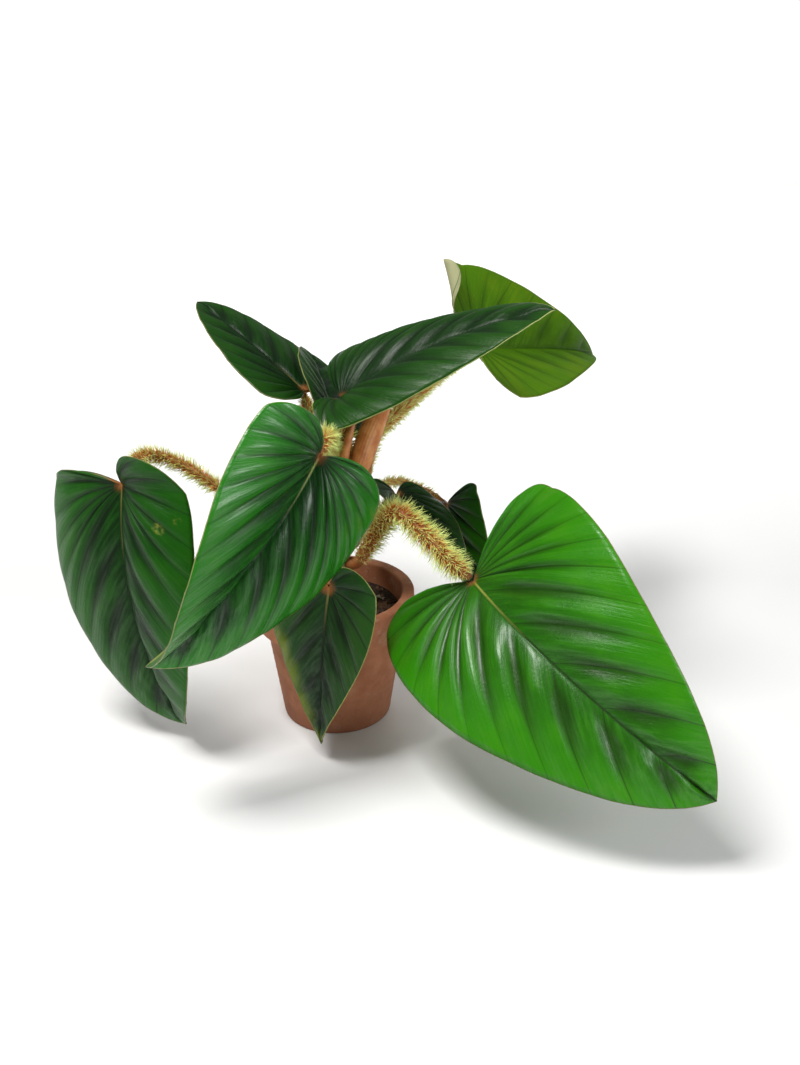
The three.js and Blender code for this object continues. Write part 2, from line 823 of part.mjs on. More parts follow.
// Raises one three-sided bristle out of a side of the stalk.
function raiseBristle(points, triangles, corners, direction, length, centre, size) {
  const [a, b, c, d] = corners.map((i) => points[i]);
  const onSide = (u, v) => {
    const lower = a.clone().lerp(b, u);
    const upper = d.clone().lerp(c, u);
    return lower.lerp(upper, v);
  };
  const halfU = size / 2 / a.distanceTo(b);
  const stepV = size / a.distanceTo(d);
  const root = onSide(centre[0], centre[1]);
  const [p, q, r, apex] = [
    onSide(centre[0] - halfU, centre[1] - stepV / 3),
    onSide(centre[0] + halfU, centre[1] - stepV / 3),
    onSide(centre[0], centre[1] + (stepV * 2) / 3),
    root.clone().addScaledVector(direction, length),
  ].map((point) => points.push(point) - 1);
  const [e, f, g, h] = corners;
  triangles.push([e, f, q], [e, q, p], [f, g, q], [g, r, q], [g, h, r], [h, p, r], [h, e, p]);
  triangles.push([p, q, apex], [q, r, apex], [r, p, apex]);
}

// A stalk is a six-sided tube with one bristle on each of its small sides, shorter near both its ends.
function buildStalk(curve, scale, surroundings, route) {
  const length = curve.getLength();
  const rings = Math.max(6, Math.round(length / BRISTLE_SPACING));
  const frames = ringFrames(curve, rings);
  const random = randomStream(SEED + route);
  const addBristle = (points, triangles, corners, ringFramesList, i) => {
    const frame = ringFramesList[i];
    const share = (i + 0.5) / rings;
    const ends = Math.min(share * length - 1.5 * BRISTLE_SPACING, (1 - share) * length + 2);
    const growth = Math.min(1, 0.45 + ends / (4 * BRISTLE_LENGTH)) * (0.85 + 0.3 * random());
    const full = scale * BRISTLE_LENGTH * growth;
    const centre = [0.35 + 0.3 * random(), 0.35 + 0.3 * random()];
    const sideways = (random() - 0.5) * 0.5;
    if (ends < 0) {
      return false;
    }
    const middle = corners.map((k) => points[k])
      .reduce((sum, p) => sum.add(p), new THREE.Vector3())
      .multiplyScalar(0.25);
    const axisPoint = curve.getPointAt(share);
    const outward = middle.clone().sub(axisPoint).normalize();
    const turn = frame.tangent.clone().cross(outward);
    const lean = Math.tan(radians(BRISTLE_LEAN));
    const direction = outward.addScaledVector(frame.tangent, lean).addScaledVector(turn, sideways).normalize();
    const clear = surroundings.clearLength(middle, direction, full, route);
    if (clear === 0) {
      return false;
    }
    raiseBristle(points, triangles, corners, direction, clear, centre, BRISTLE_WIDTH * scale);
    return true;
  };
  return tube(frames, STALK_SIDES, (share) => stalkRadius(share, length, scale), addBristle);
}

// A sheath is a lance-shaped, thin blade rolled into a trough that opens to one side.
function buildSheath(sheath) {
  const steps = 12;
  const sides = 6;
  const curve = new THREE.CatmullRomCurve3(sheath.route.map(vector), false, 'centripetal');
  const opening = vector(sheath.opening).normalize();
  const outer = [];
  const inner = [];
  for (let i = 0; i <= steps; i++) {
    const share = i / steps;
    const centre = curve.getPointAt(share);
    const tangent = curve.getTangentAt(share);
    const ahead = opening.clone().addScaledVector(tangent, -opening.dot(tangent)).normalize();
    const aside = tangent.clone().cross(ahead);
    const radius = (sheath.width / 2) * Math.sin(Math.PI * (0.2 + 0.72 * share)) ** 0.8;
    const trough = (reach, angle) => centre.clone()
      .addScaledVector(ahead, radius / 2 - reach * Math.cos(angle))
      .addScaledVector(aside, reach * Math.sin(angle));
    for (let k = 0; k <= sides; k++) {
      const angle = radians(sheath.wrap) * (k / sides - 0.5);
      outer.push(trough(radius, angle));
      inner.push(trough(radius - SHEATH_THICKNESS, angle));
    }
  }
  const triangles = [];
  for (let i = 0; i < steps; i++) {
    for (let k = 0; k < sides; k++) {
      const a = i * (sides + 1) + k;
      const b = a + sides + 1;
      triangles.push([a, b + 1, a + 1], [a, b, b + 1]);
    }
  }
  return joinSheets(outer, inner, triangles);
}

const CLAY = new THREE.MeshStandardMaterial({ color: 0xb5653f, roughness: 0.85 });
const MIX = new THREE.MeshStandardMaterial({ color: 0x3b2a1d, roughness: 1 });
const BARK = new THREE.MeshStandardMaterial({ color: 0x6b6a3a, roughness: 0.8 });
const OLD_LEAF = new THREE.MeshStandardMaterial({ color: 0x1f4a1c, roughness: 0.3 });
const BRIGHT_LEAF = new THREE.MeshStandardMaterial({ color: 0x2f7a12, roughness: 0.35 });
const STALK = new THREE.MeshStandardMaterial({ color: 0xa8964a, roughness: 0.7 });
const SHEATH = new THREE.MeshStandardMaterial({ color: 0x8a4a22, roughness: 0.6 });

const BRIGHT_LEAVES = ['front_right', 'young'];

const plant = new THREE.Group();

function addPiece(name, geometry, material) {
  const mesh = new THREE.Mesh(geometry, material.clone());
  mesh.name = name;
  plant.add(mesh);
}

const axis = stemAxis();
const stem = buildStem(axis);
addPiece('pot', buildPot(), CLAY);
addPiece('soil', buildSoil(), MIX);
addPiece('stem', stem, BARK);

const surroundings = new Surroundings();
surroundings.addSurface(stem);

for (const sheath of SHEATHS) {
  const geometry = buildSheath(sheath);
  surroundings.addSurface(geometry);
  addPiece(sheath.name, geometry, SHEATH);
}

for (const leaf of LEAVES) {
  const geometry = buildBlade(leaf);
  surroundings.addSurface(geometry);
  addPiece(`blade_${leaf.name}`, geometry, BRIGHT_LEAVES.includes(leaf.name) ? BRIGHT_LEAF : OLD_LEAF);
}

const routes = LEAVES.map((leaf) => seatedRoute(stalkRoute(leaf, axis), leaf.stalk ?? 1, surroundings));
routes.forEach((route) => surroundings.addRoute(route));
LEAVES.forEach((leaf, i) => {
  addPiece(`stalk_${leaf.name}`, buildStalk(routes[i], leaf.stalk ?? 1, surroundings, i), STALK);
});

export default plant;
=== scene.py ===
# %% [markdown]
# # A potted Philodendron serpens
#
# This lesson dresses a measured model of a houseplant: ten heart-shaped leaves on bristly stalks, on a
# short stem in a clay pot. The measured solids come first and fix every size and place. They could be
# shown as they are, but they are coarse, so each one is replaced by a finer piece of the same form.
# Lengths in the tables are millimetres and angles are degrees, as a grower would note them.

# %% The measured model
import json
import math

import bpy
import numpy as np
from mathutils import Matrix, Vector
from mathutils.kdtree import KDTree

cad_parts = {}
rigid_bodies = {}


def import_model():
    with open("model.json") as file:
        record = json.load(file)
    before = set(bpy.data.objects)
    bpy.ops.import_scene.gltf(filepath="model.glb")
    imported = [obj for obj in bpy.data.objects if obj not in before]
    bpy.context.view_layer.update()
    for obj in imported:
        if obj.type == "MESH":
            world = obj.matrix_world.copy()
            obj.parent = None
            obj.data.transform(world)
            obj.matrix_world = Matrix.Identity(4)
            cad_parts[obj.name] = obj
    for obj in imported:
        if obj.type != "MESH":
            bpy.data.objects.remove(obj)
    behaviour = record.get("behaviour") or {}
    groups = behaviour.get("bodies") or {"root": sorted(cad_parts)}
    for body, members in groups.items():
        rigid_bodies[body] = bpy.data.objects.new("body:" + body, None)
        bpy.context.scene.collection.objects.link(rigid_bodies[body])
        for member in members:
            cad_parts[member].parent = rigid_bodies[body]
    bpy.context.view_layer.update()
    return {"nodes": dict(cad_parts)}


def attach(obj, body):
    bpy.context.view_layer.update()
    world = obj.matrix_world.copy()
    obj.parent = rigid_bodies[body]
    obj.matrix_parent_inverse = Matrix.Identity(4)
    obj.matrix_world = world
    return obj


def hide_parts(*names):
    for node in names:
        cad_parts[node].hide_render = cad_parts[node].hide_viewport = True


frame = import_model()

MM = 0.001
SEED = 20
ANY_PHASE = 6.28
print("measured pieces:", len(frame["nodes"]))

# %% [markdown]
# ## Camera and light
#
# The picture was taken from the front, 25 degrees above the horizon and about 1.1 m away. A lens is
# known by its field of view, so the focal length is worked out from it on a 36 mm tall sensor.
# The light is soft: a large lamp high on the left, a weaker one on the right, and a pale room. Small
# lamps would give hard little glints, while these leaves show broad, milky ones. A third lamp lights the
# wall behind the plant, which has to be as white as the floor.

# %% Camera
SENSOR_HEIGHT = 36
PICTURE_HEIGHT, FOCAL_PIXELS = 1065, 1294
CAMERA_PLACE, CAMERA_TILT = (0.055, -0.9728, 0.6215), 65
camera_data = bpy.data.cameras.new("camera")
camera_data.sensor_fit = "VERTICAL"
camera_data.sensor_height = SENSOR_HEIGHT
camera_data.lens = SENSOR_HEIGHT * FOCAL_PIXELS / PICTURE_HEIGHT
camera = bpy.data.objects.new("camera", camera_data)
camera.location = CAMERA_PLACE
camera.rotation_euler = (math.radians(CAMERA_TILT), 0, 0)
bpy.context.scene.collection.objects.link(camera)
bpy.context.scene.camera = camera
print("focal length:", round(camera_data.lens, 1), "mm")

# %% Lamps
# Square lamps: place, target, side in metres, watts and colour.
LAMPS = {
    "window": ((-0.6, -0.35, 1.9), (0.05, 0, 0.2), 0.65, 38, (1, 0.99, 0.97)),
    "fill": ((1.5, -1.3, 1.0), (0.1, 0, 0.2), 0.8, 17, (0.98, 1, 1)),
    "backdrop": ((0, 0.8, 2.4), (0, 3.4, 1.8), 2.0, 110, (1, 1, 1)),
}
ROOM_LIGHT = 0.2
for name, (place, target, side, watts, colour) in LAMPS.items():
    data = bpy.data.lights.new(name, "AREA")
    data.size, data.energy, data.color = side, watts, colour
    lamp = bpy.data.objects.new(name, data)
    lamp.location = place
    lamp.rotation_euler = (Vector(target) - Vector(place)).to_track_quat("-Z", "Y").to_euler()
    bpy.context.scene.collection.objects.link(lamp)
world = bpy.data.worlds.new("pale room")
world.use_nodes = True
room = world.node_tree.nodes["Background"].inputs
room["Color"].default_value = (1, 1, 1, 1)
room["Strength"].default_value = ROOM_LIGHT
bpy.context.scene.world = world
bpy.context.scene.view_settings.view_transform = "Standard"
print("lamps:", len(LAMPS))

# %% [markdown]
# ## A small language for finishes
#
# Shader maths could be built node by node, but formulas are easier to read as formulas. The class Field
# wraps one socket, so that an expression such as 1 - mask * 0.4 adds the Math nodes by itself. Finish
# holds one material, adds any other node with one method, and builds its colour up as a painter does,
# one thin layer over another.


# %% Fields
def math_node(operation, reflected=False):
    """A method for one of Field's operators."""

    def method(field, other):
        pair = (other, field) if reflected else (field, other)
        return field.finish.sum(operation, *pair)

    return method


class Field:
    """One socket of a material's nodes, which takes part in sums."""

    def __init__(self, finish, socket):
        self.finish, self.socket = finish, socket

    __add__, __radd__ = math_node("ADD"), math_node("ADD", True)
    __sub__, __rsub__ = math_node("SUBTRACT"), math_node("SUBTRACT", True)
    __mul__, __rmul__ = math_node("MULTIPLY"), math_node("MULTIPLY", True)

    def ramp(self, start, end, low=0.0, high=1.0):
        """Turns smoothly from low to high while the value goes from start to end."""
        inputs = {"Value": self, "From Min": start, "From Max": end, "To Min": low, "To Max": high}
        return self.finish.add("ShaderNodeMapRange", {"interpolation_type": "SMOOTHSTEP"}, inputs)


print("fields are ready")


# %% Finishes
class Finish:
    """A material in the making. Its tone starts as one colour, and others are laid over it."""

    def __init__(self, name, tone):
        self.tone = tone
        self.material = bpy.data.materials.new(name)
        self.material.use_nodes = True
        self.nodes = self.material.node_tree.nodes
        self.links = self.material.node_tree.links
        self.shader = self.nodes["Principled BSDF"]

    def add(self, kind, settings=None, inputs=None, output=0):
        """Adds a node with its settings, then fills or links its sockets."""
        node = self.nodes.new(kind)
        for key, value in (settings or {}).items():
            setattr(node, key, value)
        for key, value in (inputs or {}).items():
            self.fill(node.inputs[key], value)
        return Field(self, node.outputs[output])

    def fill(self, socket, value):
        if isinstance(value, Field):
            self.links.new(value.socket, socket)
        elif isinstance(value, tuple) and len(value) == 3 and socket.type == "RGBA":
            socket.default_value = (*value, 1)
        else:
            socket.default_value = value

    def sum(self, operation, first, second):
        return self.add("ShaderNodeMath", {"operation": operation}, {0: first, 1: second})

    def mix(self, factor, first, second):
        """Blends two colours."""
        return self.add("ShaderNodeMix", {"data_type": "RGBA"}, {0: factor, 6: first, 7: second}, 2)

    def attribute(self, name):
        """A number that the mesh keeps for each point."""
        return self.add("ShaderNodeAttribute", {"attribute_name": name}, output=2)

    def noise(self, scale, detail=3, place=None, roughness=0.5):
        """Cloudy noise on the object's own coordinates, in metres."""
        if place is None:
            place = self.add("ShaderNodeTexCoord", output=3)
        inputs = {"Vector": place, "Scale": scale, "Detail": detail, "Roughness": roughness}
        return self.add("ShaderNodeTexNoise", {}, inputs)

    def bump(self, height, depth, strength=1.0):
        """Relief of so many metres, from a height that goes from 0 to 1."""
        return self.add("ShaderNodeBump", {}, {"Height": height, "Distance": depth, "Strength": strength})

    def over(self, mask, colour):
        """Lays a colour over the tone, as thickly as the mask says."""
        self.tone = self.mix(mask, self.tone, colour)

    def done(self, **sockets):
        """Fills the shader's sockets and hands over the material."""
        for key, value in {"Base_Color": self.tone, **sockets}.items():
            self.fill(self.shader.inputs[key.replace("_", " ")], value)
        return self.material


print("finish maker is ready")

# %% [markdown]
# ## The leaves as a table
#
# A leaf could be sculpted, but ten leaves that all follow one rule are better grown from numbers. Each
# row says where a leaf is attached, where its tip is, and how it is folded, curled, arched and twisted.
# Pairs are for the right and the left half, seen from above with the tip ahead. Old marks and faded
# patches are given along and across the blade, with their size.

# %% Leaf table
PLAIN_LEAF = {"twist": 0, "side_bow": 0, "arch_power": 1, "fold_change": (0, 0), "taper_power": 1,
              "tuck": None, "stalk": 1, "marks": (), "faded": ()}
LEAVES = {}


def leaf(name, **facts):
    LEAVES[name] = {**PLAIN_LEAF, **facts}


leaf(
    "front_right", attach=(112, -70, 159), tip=(280, -221, 60), half_width=(96, 102), arch=74, roll=16,
    twist=-12, side_bow=-0.02, fold=(22, 1), curl=(20, 11), lobe=(1.2, 0.85), lobe_lift=4,
    lobe_sweep=(-0.15, -0.3), taper=0.1, veins=12, stem_height=142, stem_bearing=-25,
    via=((51, -19, 195), (75, -40, 184), (98, -61, 168)),
)
leaf(
    "front_left", attach=(-5, -76, 266), tip=(-133, -147, 126), half_width=(77, 68), arch=17, roll=-27,
    twist=34, side_bow=-0.045, fold=(50, 37), curl=(67, 67), lobe=(0.74, 0.6), lobe_lift=2,
    lobe_sweep=(0.24, 0.34), taper=-0.26, veins=12, stem_height=206, stem_bearing=-160,
    via=((-3, -9, 244), (-2, -30, 262), (-3, -54, 271)),
)
leaf(
    "far_left", attach=(-164, -34, 225), tip=(-125, -54, 15), half_width=(80, 81), arch=42, roll=48,
    twist=-1, fold=(31, 26), curl=(41, 74), lobe=(0.4, 1.25), lobe_lift=35, lobe_sweep=(-0.1, 0.15),
    taper=-0.1, marks=((0.13, -0.67, 7), (0.1, -0.86, 5)), veins=11, stalk=0.8, stem_height=172,
    stem_bearing=175,
    via=((-59, 3, 182), (-97, 10, 206), (-126, 15, 223), (-147, 7, 234), (-157, -12, 236)),
)
leaf(
    "upper_right", attach=(8, 21, 277), tip=(174, -6, 359), half_width=(63, 80), arch=18, roll=-50,
    twist=2, side_bow=-0.05, fold=(46, 31), fold_change=(-29, -38), curl=(69, 69), lobe=(1.15, 0.6),
    lobe_lift=-15, lobe_sweep=(1.3, -0.5), taper=-0.1, veins=12, stem_height=214, stem_bearing=100,
    via=((11, 3, 240), (9, 4, 258), (7, 14, 270)),
)
leaf(
    "upper_left", attach=(-27, 84, 264), tip=(-128, 174, 317), half_width=(52, 52), arch=10, roll=50,
    side_bow=-0.01, fold=(15, 18), curl=(48, 20), lobe=(1, 0.95), lobe_lift=11, lobe_sweep=(0, 0.1),
    taper=0.05, veins=9, stalk=0.85, stem_height=192, stem_bearing=135,
    via=((-10, 42, 218), (-21, 68, 242)),
)
leaf(
    "young", attach=(124, 132, 287), tip=(244, 248, 244), half_width=(75, 80), arch=35, arch_power=2.1,
    roll=-14, side_bow=0.015, fold=(38, 15), curl=(17, 17), lobe=(0.95, 2.05), lobe_lift=12,
    lobe_sweep=(0.15, -0.45), taper=0.6, tuck=(0.12, 150, 0.03), veins=10, stem_height=212,
    stem_bearing=30, via=((32, 18, 243), (53, 49, 256), (85, 91, 272), (109, 120, 282)),
)
leaf(
    "low_front", attach=(-1, -71, 153), tip=(-10, -82, 14), half_width=(55, 42), arch=28, roll=17,
    twist=-25, fold=(9, 11), curl=(38, 27), lobe=(1.23, 1.26), lobe_lift=9, lobe_sweep=(-0.07, 0.49),
    taper=0.76, taper_power=2.9, veins=9, stalk=0.8, stem_height=121, stem_bearing=-95,
    faded=((0.45, 0.95, 22), (0.62, 0.75, 24), (0.8, 0.5, 22), (0.97, 0.1, 12)),
    via=((-1, -28, 142), (-1, -53, 160)),
)
leaf(
    "inner_right", attach=(96, 85, 157), tip=(149, 54, 66), half_width=(41, 41), arch=58, roll=49,
    twist=-3, fold=(-6, 5), curl=(26, 21), lobe=(1, 0.95), lobe_lift=-23, lobe_sweep=(0.1, -0.35),
    taper=0.15, veins=8, stalk=0.55, stem_height=184, stem_bearing=60,
    via=((31, 49, 186), (36, 63, 183), (48, 85, 178), (59, 98, 172), (71, 101, 166), (84, 99, 160)),
)
leaf(
    "rear_right", attach=(52, 58, 178), tip=(105, -36, 155), half_width=(34, 40), arch=3, roll=-59,
    fold=(20, 17), curl=(19, 20), lobe=(0.8, 1.15), lobe_lift=11, lobe_sweep=(0.1, 0.25), taper=0.1,
    veins=8, stalk=0.7, stem_height=152, stem_bearing=40, via=((24, 32, 158), (38, 50, 166)),
)
leaf(
    "back", attach=(0, 51, 255), tip=(-26, 133, 282), half_width=(48, 48), arch=13, roll=67, twist=5,
    side_bow=-0.02, fold=(15, 18), curl=(22, 14), lobe=(1.4, 1.6), lobe_lift=-23, lobe_sweep=(-0.4, 0.3),
    taper=0.1, veins=8, stalk=0.85, stem_height=200, stem_bearing=90, via=((8, 24, 225), (3, 36, 245)),
)
print("leaves in the table:", len(LEAVES))

# %% What all leaves share
# Half of the outline: along the midrib as a share of its length, across as a share of half the width.
HALF_OUTLINE = np.array([
    (0, 0), (0, 0.1), (-0.04, 0.18), (-0.085, 0.33), (-0.108, 0.5), (-0.1, 0.68), (-0.065, 0.84),
    (0, 0.94), (0.08, 0.99), (0.17, 1), (0.27, 0.985), (0.38, 0.93), (0.5, 0.83),
    (0.62, 0.71), (0.74, 0.565), (0.84, 0.41), (0.92, 0.245), (0.965, 0.12), (1, 0),
])
TYPICAL_WIDTH_SHARE = 0.37
BARE_RIB_SHARE = 0.11
VEIN_SLANT = 1.5
VEIN_BOW = 0.1
FACING_TILT = 25
print("points on half an outline:", len(HALF_OUTLINE))

# %% [markdown]
# ## The curved face of a leaf
#
# A real blade is stiff along its midrib and floppy across it. So its shape is worked out in that order:
# the midrib is bent first, then each half is lifted at the midrib and curled back down over its width.
# The lobes behind the attach point run on straight, or tuck over when the leaf is still unfolding.

# %% Where a point of the blade lies
MIDRIB_STEPS = 60
LEAST_BEND = 1e-6
SLOPE_STEP = 0.01


def unit(vectors):
    """Each row of vectors made one long."""
    return vectors / np.linalg.norm(vectors, axis=1)[:, None]


class LeafShape:
    """Places points of a leaf's face, given along the midrib and across it."""

    def __init__(self, row):
        self.row = row
        self.attach = np.array(row["attach"], float)
        chord = np.array(row["tip"], float) - self.attach
        self.shares = np.linspace(0, 1, MIDRIB_STEPS + 1)
        self.angle = -math.radians(row["arch"]) * self.shares ** row["arch_power"]
        steps = (self.angle[1:] + self.angle[:-1]) / 2
        self.along = np.r_[0, np.cumsum(np.cos(steps))] / MIDRIB_STEPS
        self.rise = np.r_[0, np.cumsum(np.sin(steps))] / MIDRIB_STEPS
        self.tilt = -math.atan2(self.rise[-1], self.along[-1])
        self.length = np.linalg.norm(chord) / math.hypot(self.along[-1], self.rise[-1])
        self.chord = chord / np.linalg.norm(chord)
        tilt = math.radians(FACING_TILT)
        facing = np.array([0, -math.cos(tilt), math.sin(tilt)])
        level = facing - facing.dot(self.chord) * self.chord
        level /= np.linalg.norm(level)
        roll = math.radians(row["roll"])
        self.up = level * math.cos(roll) + np.cross(self.chord, level) * math.sin(roll)
        self.right = np.cross(self.chord, self.up)
        self.face = self.up * math.cos(self.tilt) - self.chord * math.sin(self.tilt)

    def behind_midrib(self, behind, right_half):
        """How far back and up a lobe's point is. An unfolding left lobe is rolled over its own bend."""
        if not self.row["tuck"]:
            return behind, 0
        start, turn, radius = self.row["tuck"]
        turn = math.radians(turn)
        over = np.where(right_half, 0, np.maximum(0, -start - behind))
        bent = np.minimum(over, radius * turn)
        straight = over - bent
        back = behind + over - radius * np.sin(bent / radius) - straight * math.cos(turn)
        return back, radius * (1 - np.cos(bent / radius)) + straight * math.sin(turn)

    def place(self, along, across):
        row, right_half = self.row, across >= 0

        def pick(pair):
            return np.where(right_half, pair[0], pair[1])

        clamped = np.clip(along, 0, 1)
        behind = np.minimum(along, 0)
        back, lobe_rise = self.behind_midrib(behind, right_half)
        foot = self.tilt - math.radians(row["lobe_lift"])
        cos, sin = math.cos(self.tilt), math.sin(self.tilt)
        x = np.interp(clamped, self.shares, self.along)
        z = np.interp(clamped, self.shares, self.rise)
        middle_x = cos * x - sin * z + back * math.cos(foot) - lobe_rise * math.sin(foot)
        middle_z = sin * x + cos * z + back * math.sin(foot) + lobe_rise * math.cos(foot)
        slope = np.interp(clamped, self.shares, self.angle) + self.tilt

        width = pick(row["half_width"])
        fold = np.radians(pick(row["fold"]) + pick(row["fold_change"]) * clamped)
        bend = np.maximum(np.radians(pick(row["curl"])), LEAST_BEND) / width
        reach = np.abs(across) * width
        out = (np.sin(fold) - np.sin(fold - bend * reach)) / bend
        lift = (np.cos(fold - bend * reach) - np.cos(fold)) / bend
        sweep = pick(row["lobe_sweep"]) * behind * self.length
        sideways = np.where(right_half, 1, -1) * (out + sweep)
        twist = math.radians(row["twist"]) * clamped
        bow = row["side_bow"] * 4 * clamped * (1 - clamped) * self.length
        lateral = sideways * np.cos(twist) - lift * np.sin(twist) + bow
        height = sideways * np.sin(twist) + lift * np.cos(twist)
        forward = middle_x * self.length - height * np.sin(slope)
        upward = middle_z * self.length + height * np.cos(slope)
        return (self.attach + forward[:, None] * self.chord + upward[:, None] * self.up
                + lateral[:, None] * self.right)

    def half_normal(self, along, across, side):
        """The normal on one side of the midrib: 1 is right and -1 is left."""
        lengthwise = self.place(along + SLOPE_STEP, across) - self.place(along - SLOPE_STEP, across)
        crosswise = self.place(along, across + side * SLOPE_STEP) - self.place(along, across)
        return unit(np.cross(lengthwise, crosswise) * -np.sign(side)[:, None])

    def normal(self, along, across):
        """The face's normal. On the midrib it is the mean of both halves."""
        normal = self.half_normal(along, across, np.where(across >= 0, 1.0, -1.0))
        middle = across == 0
        s = along[middle]
        halves = [self.half_normal(s, np.full_like(s, side * SLOPE_STEP), np.full_like(s, side))
                  for side in (1, -1)]
        normal[middle] = unit(sum(halves))
        return normal


shapes = {name: LeafShape(row) for name, row in LEAVES.items()}
print("blade lengths, mm:", {name: round(shape.length) for name, shape in shapes.items()})

# %% [markdown]
# ## Blades with sunken veins
#
# This species has a quilted blade: each vein runs in a groove and the green between two veins bulges.
# A bump map could fake that, but the bulges are big enough to show at the edge of a leaf, so they are
# real here. The mesh is laid out in rays that follow the veins, which leave the midrib aslant and bow
# toward the tip. A vein then runs along a row of points, and a groove stays crisp with few of them.
# Each point also keeps notes for the finish to read: its distance from the nearest vein, the midrib, the
# rim, the notch and the attach point, in millimetres, how deep in a furrow it lies, and whether it is in
# an old mark or a faded patch.

# %% Smooth curves
CURVE_STEPS = 24


def travel(path):
    """How far along a path each of its points is."""
    return np.r_[0, np.cumsum(np.linalg.norm(np.diff(path, axis=0), axis=1))]


def smooth_curve(points, count, power=0.0):
    """Evenly spaced points on a Catmull-Rom curve. A power of 0.25 keeps tight bends from looping."""
    points = np.vstack([2 * points[0] - points[1], points, 2 * points[-1] - points[-2]])
    share = np.linspace(0, 1, CURVE_STEPS + 1)[:-1, None]
    dense = []
    for before, start, end, after in zip(points, points[1:], points[2:], points[3:]):
        pairs = ((before, start), (start, end), (end, after))
        gaps = [max(np.sum((b - a) ** 2) ** power, 1e-9) for a, b in pairs]
        first = (start - before) / gaps[0] - (end - before) / (gaps[0] + gaps[1]) + (end - start) / gaps[1]
        last = (end - start) / gaps[1] - (after - start) / (gaps[1] + gaps[2]) + (after - end) / gaps[2]
        first, last = first * gaps[1], last * gaps[1]
        dense.append(start + first * share + (3 * (end - start) - 2 * first - last) * share ** 2
                     + (2 * (start - end) + first + last) * share ** 3)
    dense = np.vstack(dense + [points[-2][None]])
    travelled = travel(dense)
    wanted = np.linspace(0, travelled[-1], count)
    return np.stack([np.interp(wanted, travelled, column) for column in dense.T], axis=1)


print("points on the smooth outline:", len(smooth_curve(HALF_OUTLINE, 100)))

# %% The rays of a blade
RAYS_PER_VEIN = 8
POINTS_PER_RAY = 26
RIM_CROWDING = 1.1
OUTLINE_STEPS = 4000
ray_shares = np.linspace(0, 1, POINTS_PER_RAY) ** RIM_CROWDING


def leaf_rays(row):
    """Along and across shares of every ray of both halves: two grids of ray by point by coordinate."""
    share = ray_shares[None, :, None]
    rim_steps = np.linspace(BARE_RIB_SHARE, 1, row["veins"] * RAYS_PER_VEIN + 1) * OUTLINE_STEPS
    grids = []
    for half in (0, 1):
        outline = HALF_OUTLINE.copy()
        lobe = outline[:, 0] < 0
        slimmed = row["taper"] * np.maximum(0, outline[:, 0]) ** row["taper_power"]
        outline[:, 1] *= (1 - slimmed) * TYPICAL_WIDTH_SHARE
        outline[lobe, 0] *= row["lobe"][half]
        margin = smooth_curve(outline, OUTLINE_STEPS + 1)[np.round(rim_steps).astype(int)]
        if half == 0:
            starts = np.clip(margin[:, 0] - VEIN_SLANT * margin[:, 1], 0, 1)
        middle = np.stack([starts, 0 * starts], axis=1)
        bow = VEIN_BOW * np.linalg.norm(margin - middle, axis=1)
        control = (middle + margin) / 2 - np.stack([bow, 0 * bow], axis=1)
        grid = (middle[:, None] * (1 - share) ** 2 + 2 * control[:, None] * share * (1 - share)
                + margin[:, None] * share ** 2)
        grid[:, :, 1] *= (1 - 2 * half) / TYPICAL_WIDTH_SHARE
        grids.append(grid)
    return grids


rays_of = {name: leaf_rays(row) for name, row in LEAVES.items()}
print("points on all rays:", sum(grid[..., 0].size for grids in rays_of.values() for grid in grids))


# %% Meshes with notes on their points
def new_piece(name, points, faces, notes=None):
    """A smooth mesh object at the origin. Points are in millimetres; notes are kept for each point."""
    mesh = bpy.data.meshes.new(name)
    mesh.from_pydata((np.asarray(points) * MM).tolist(), [], faces)
    for key, values in (notes or {}).items():
        values = np.asarray(values, dtype=np.float32)
        kind, field = ("FLOAT_VECTOR", "vector") if values.ndim == 2 else ("FLOAT", "value")
        mesh.attributes.new(key, kind, "POINT").data.foreach_set(field, values.ravel())
    mesh.polygons.foreach_set("use_smooth", [True] * len(mesh.polygons))
    mesh.validate()
    piece = bpy.data.objects.new(name, mesh)
    bpy.context.scene.collection.objects.link(piece)
    return piece


def thick_sheet(faces, count):
    """Faces of a sheet, of its lower side, whose points come count later, and of the rim between them."""
    edges = {(face[k - 1], face[k]) for face in faces for k in range(len(face))}
    rim = sorted((b, a, count + a, count + b) for a, b in edges if (b, a) not in edges)
    lower = [[count + corner for corner in reversed(face)] for face in faces]
    return faces + lower + rim


def settle(piece, material, slot, *nodes):
    """Gives a piece its finish and its place in the frame."""
    piece.data.materials.clear()
    piece.data.materials.append(material)
    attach(piece, "root")
    if nodes:
        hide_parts(*nodes)


print("piece maker is ready")

# %% A blade's points and what they note
FAR = 99
WIDE_PANEL = 21
NOTCH_RAYS = 2 * RAYS_PER_VEIN


def distance(first, second):
    return np.linalg.norm(first - second, axis=-1)


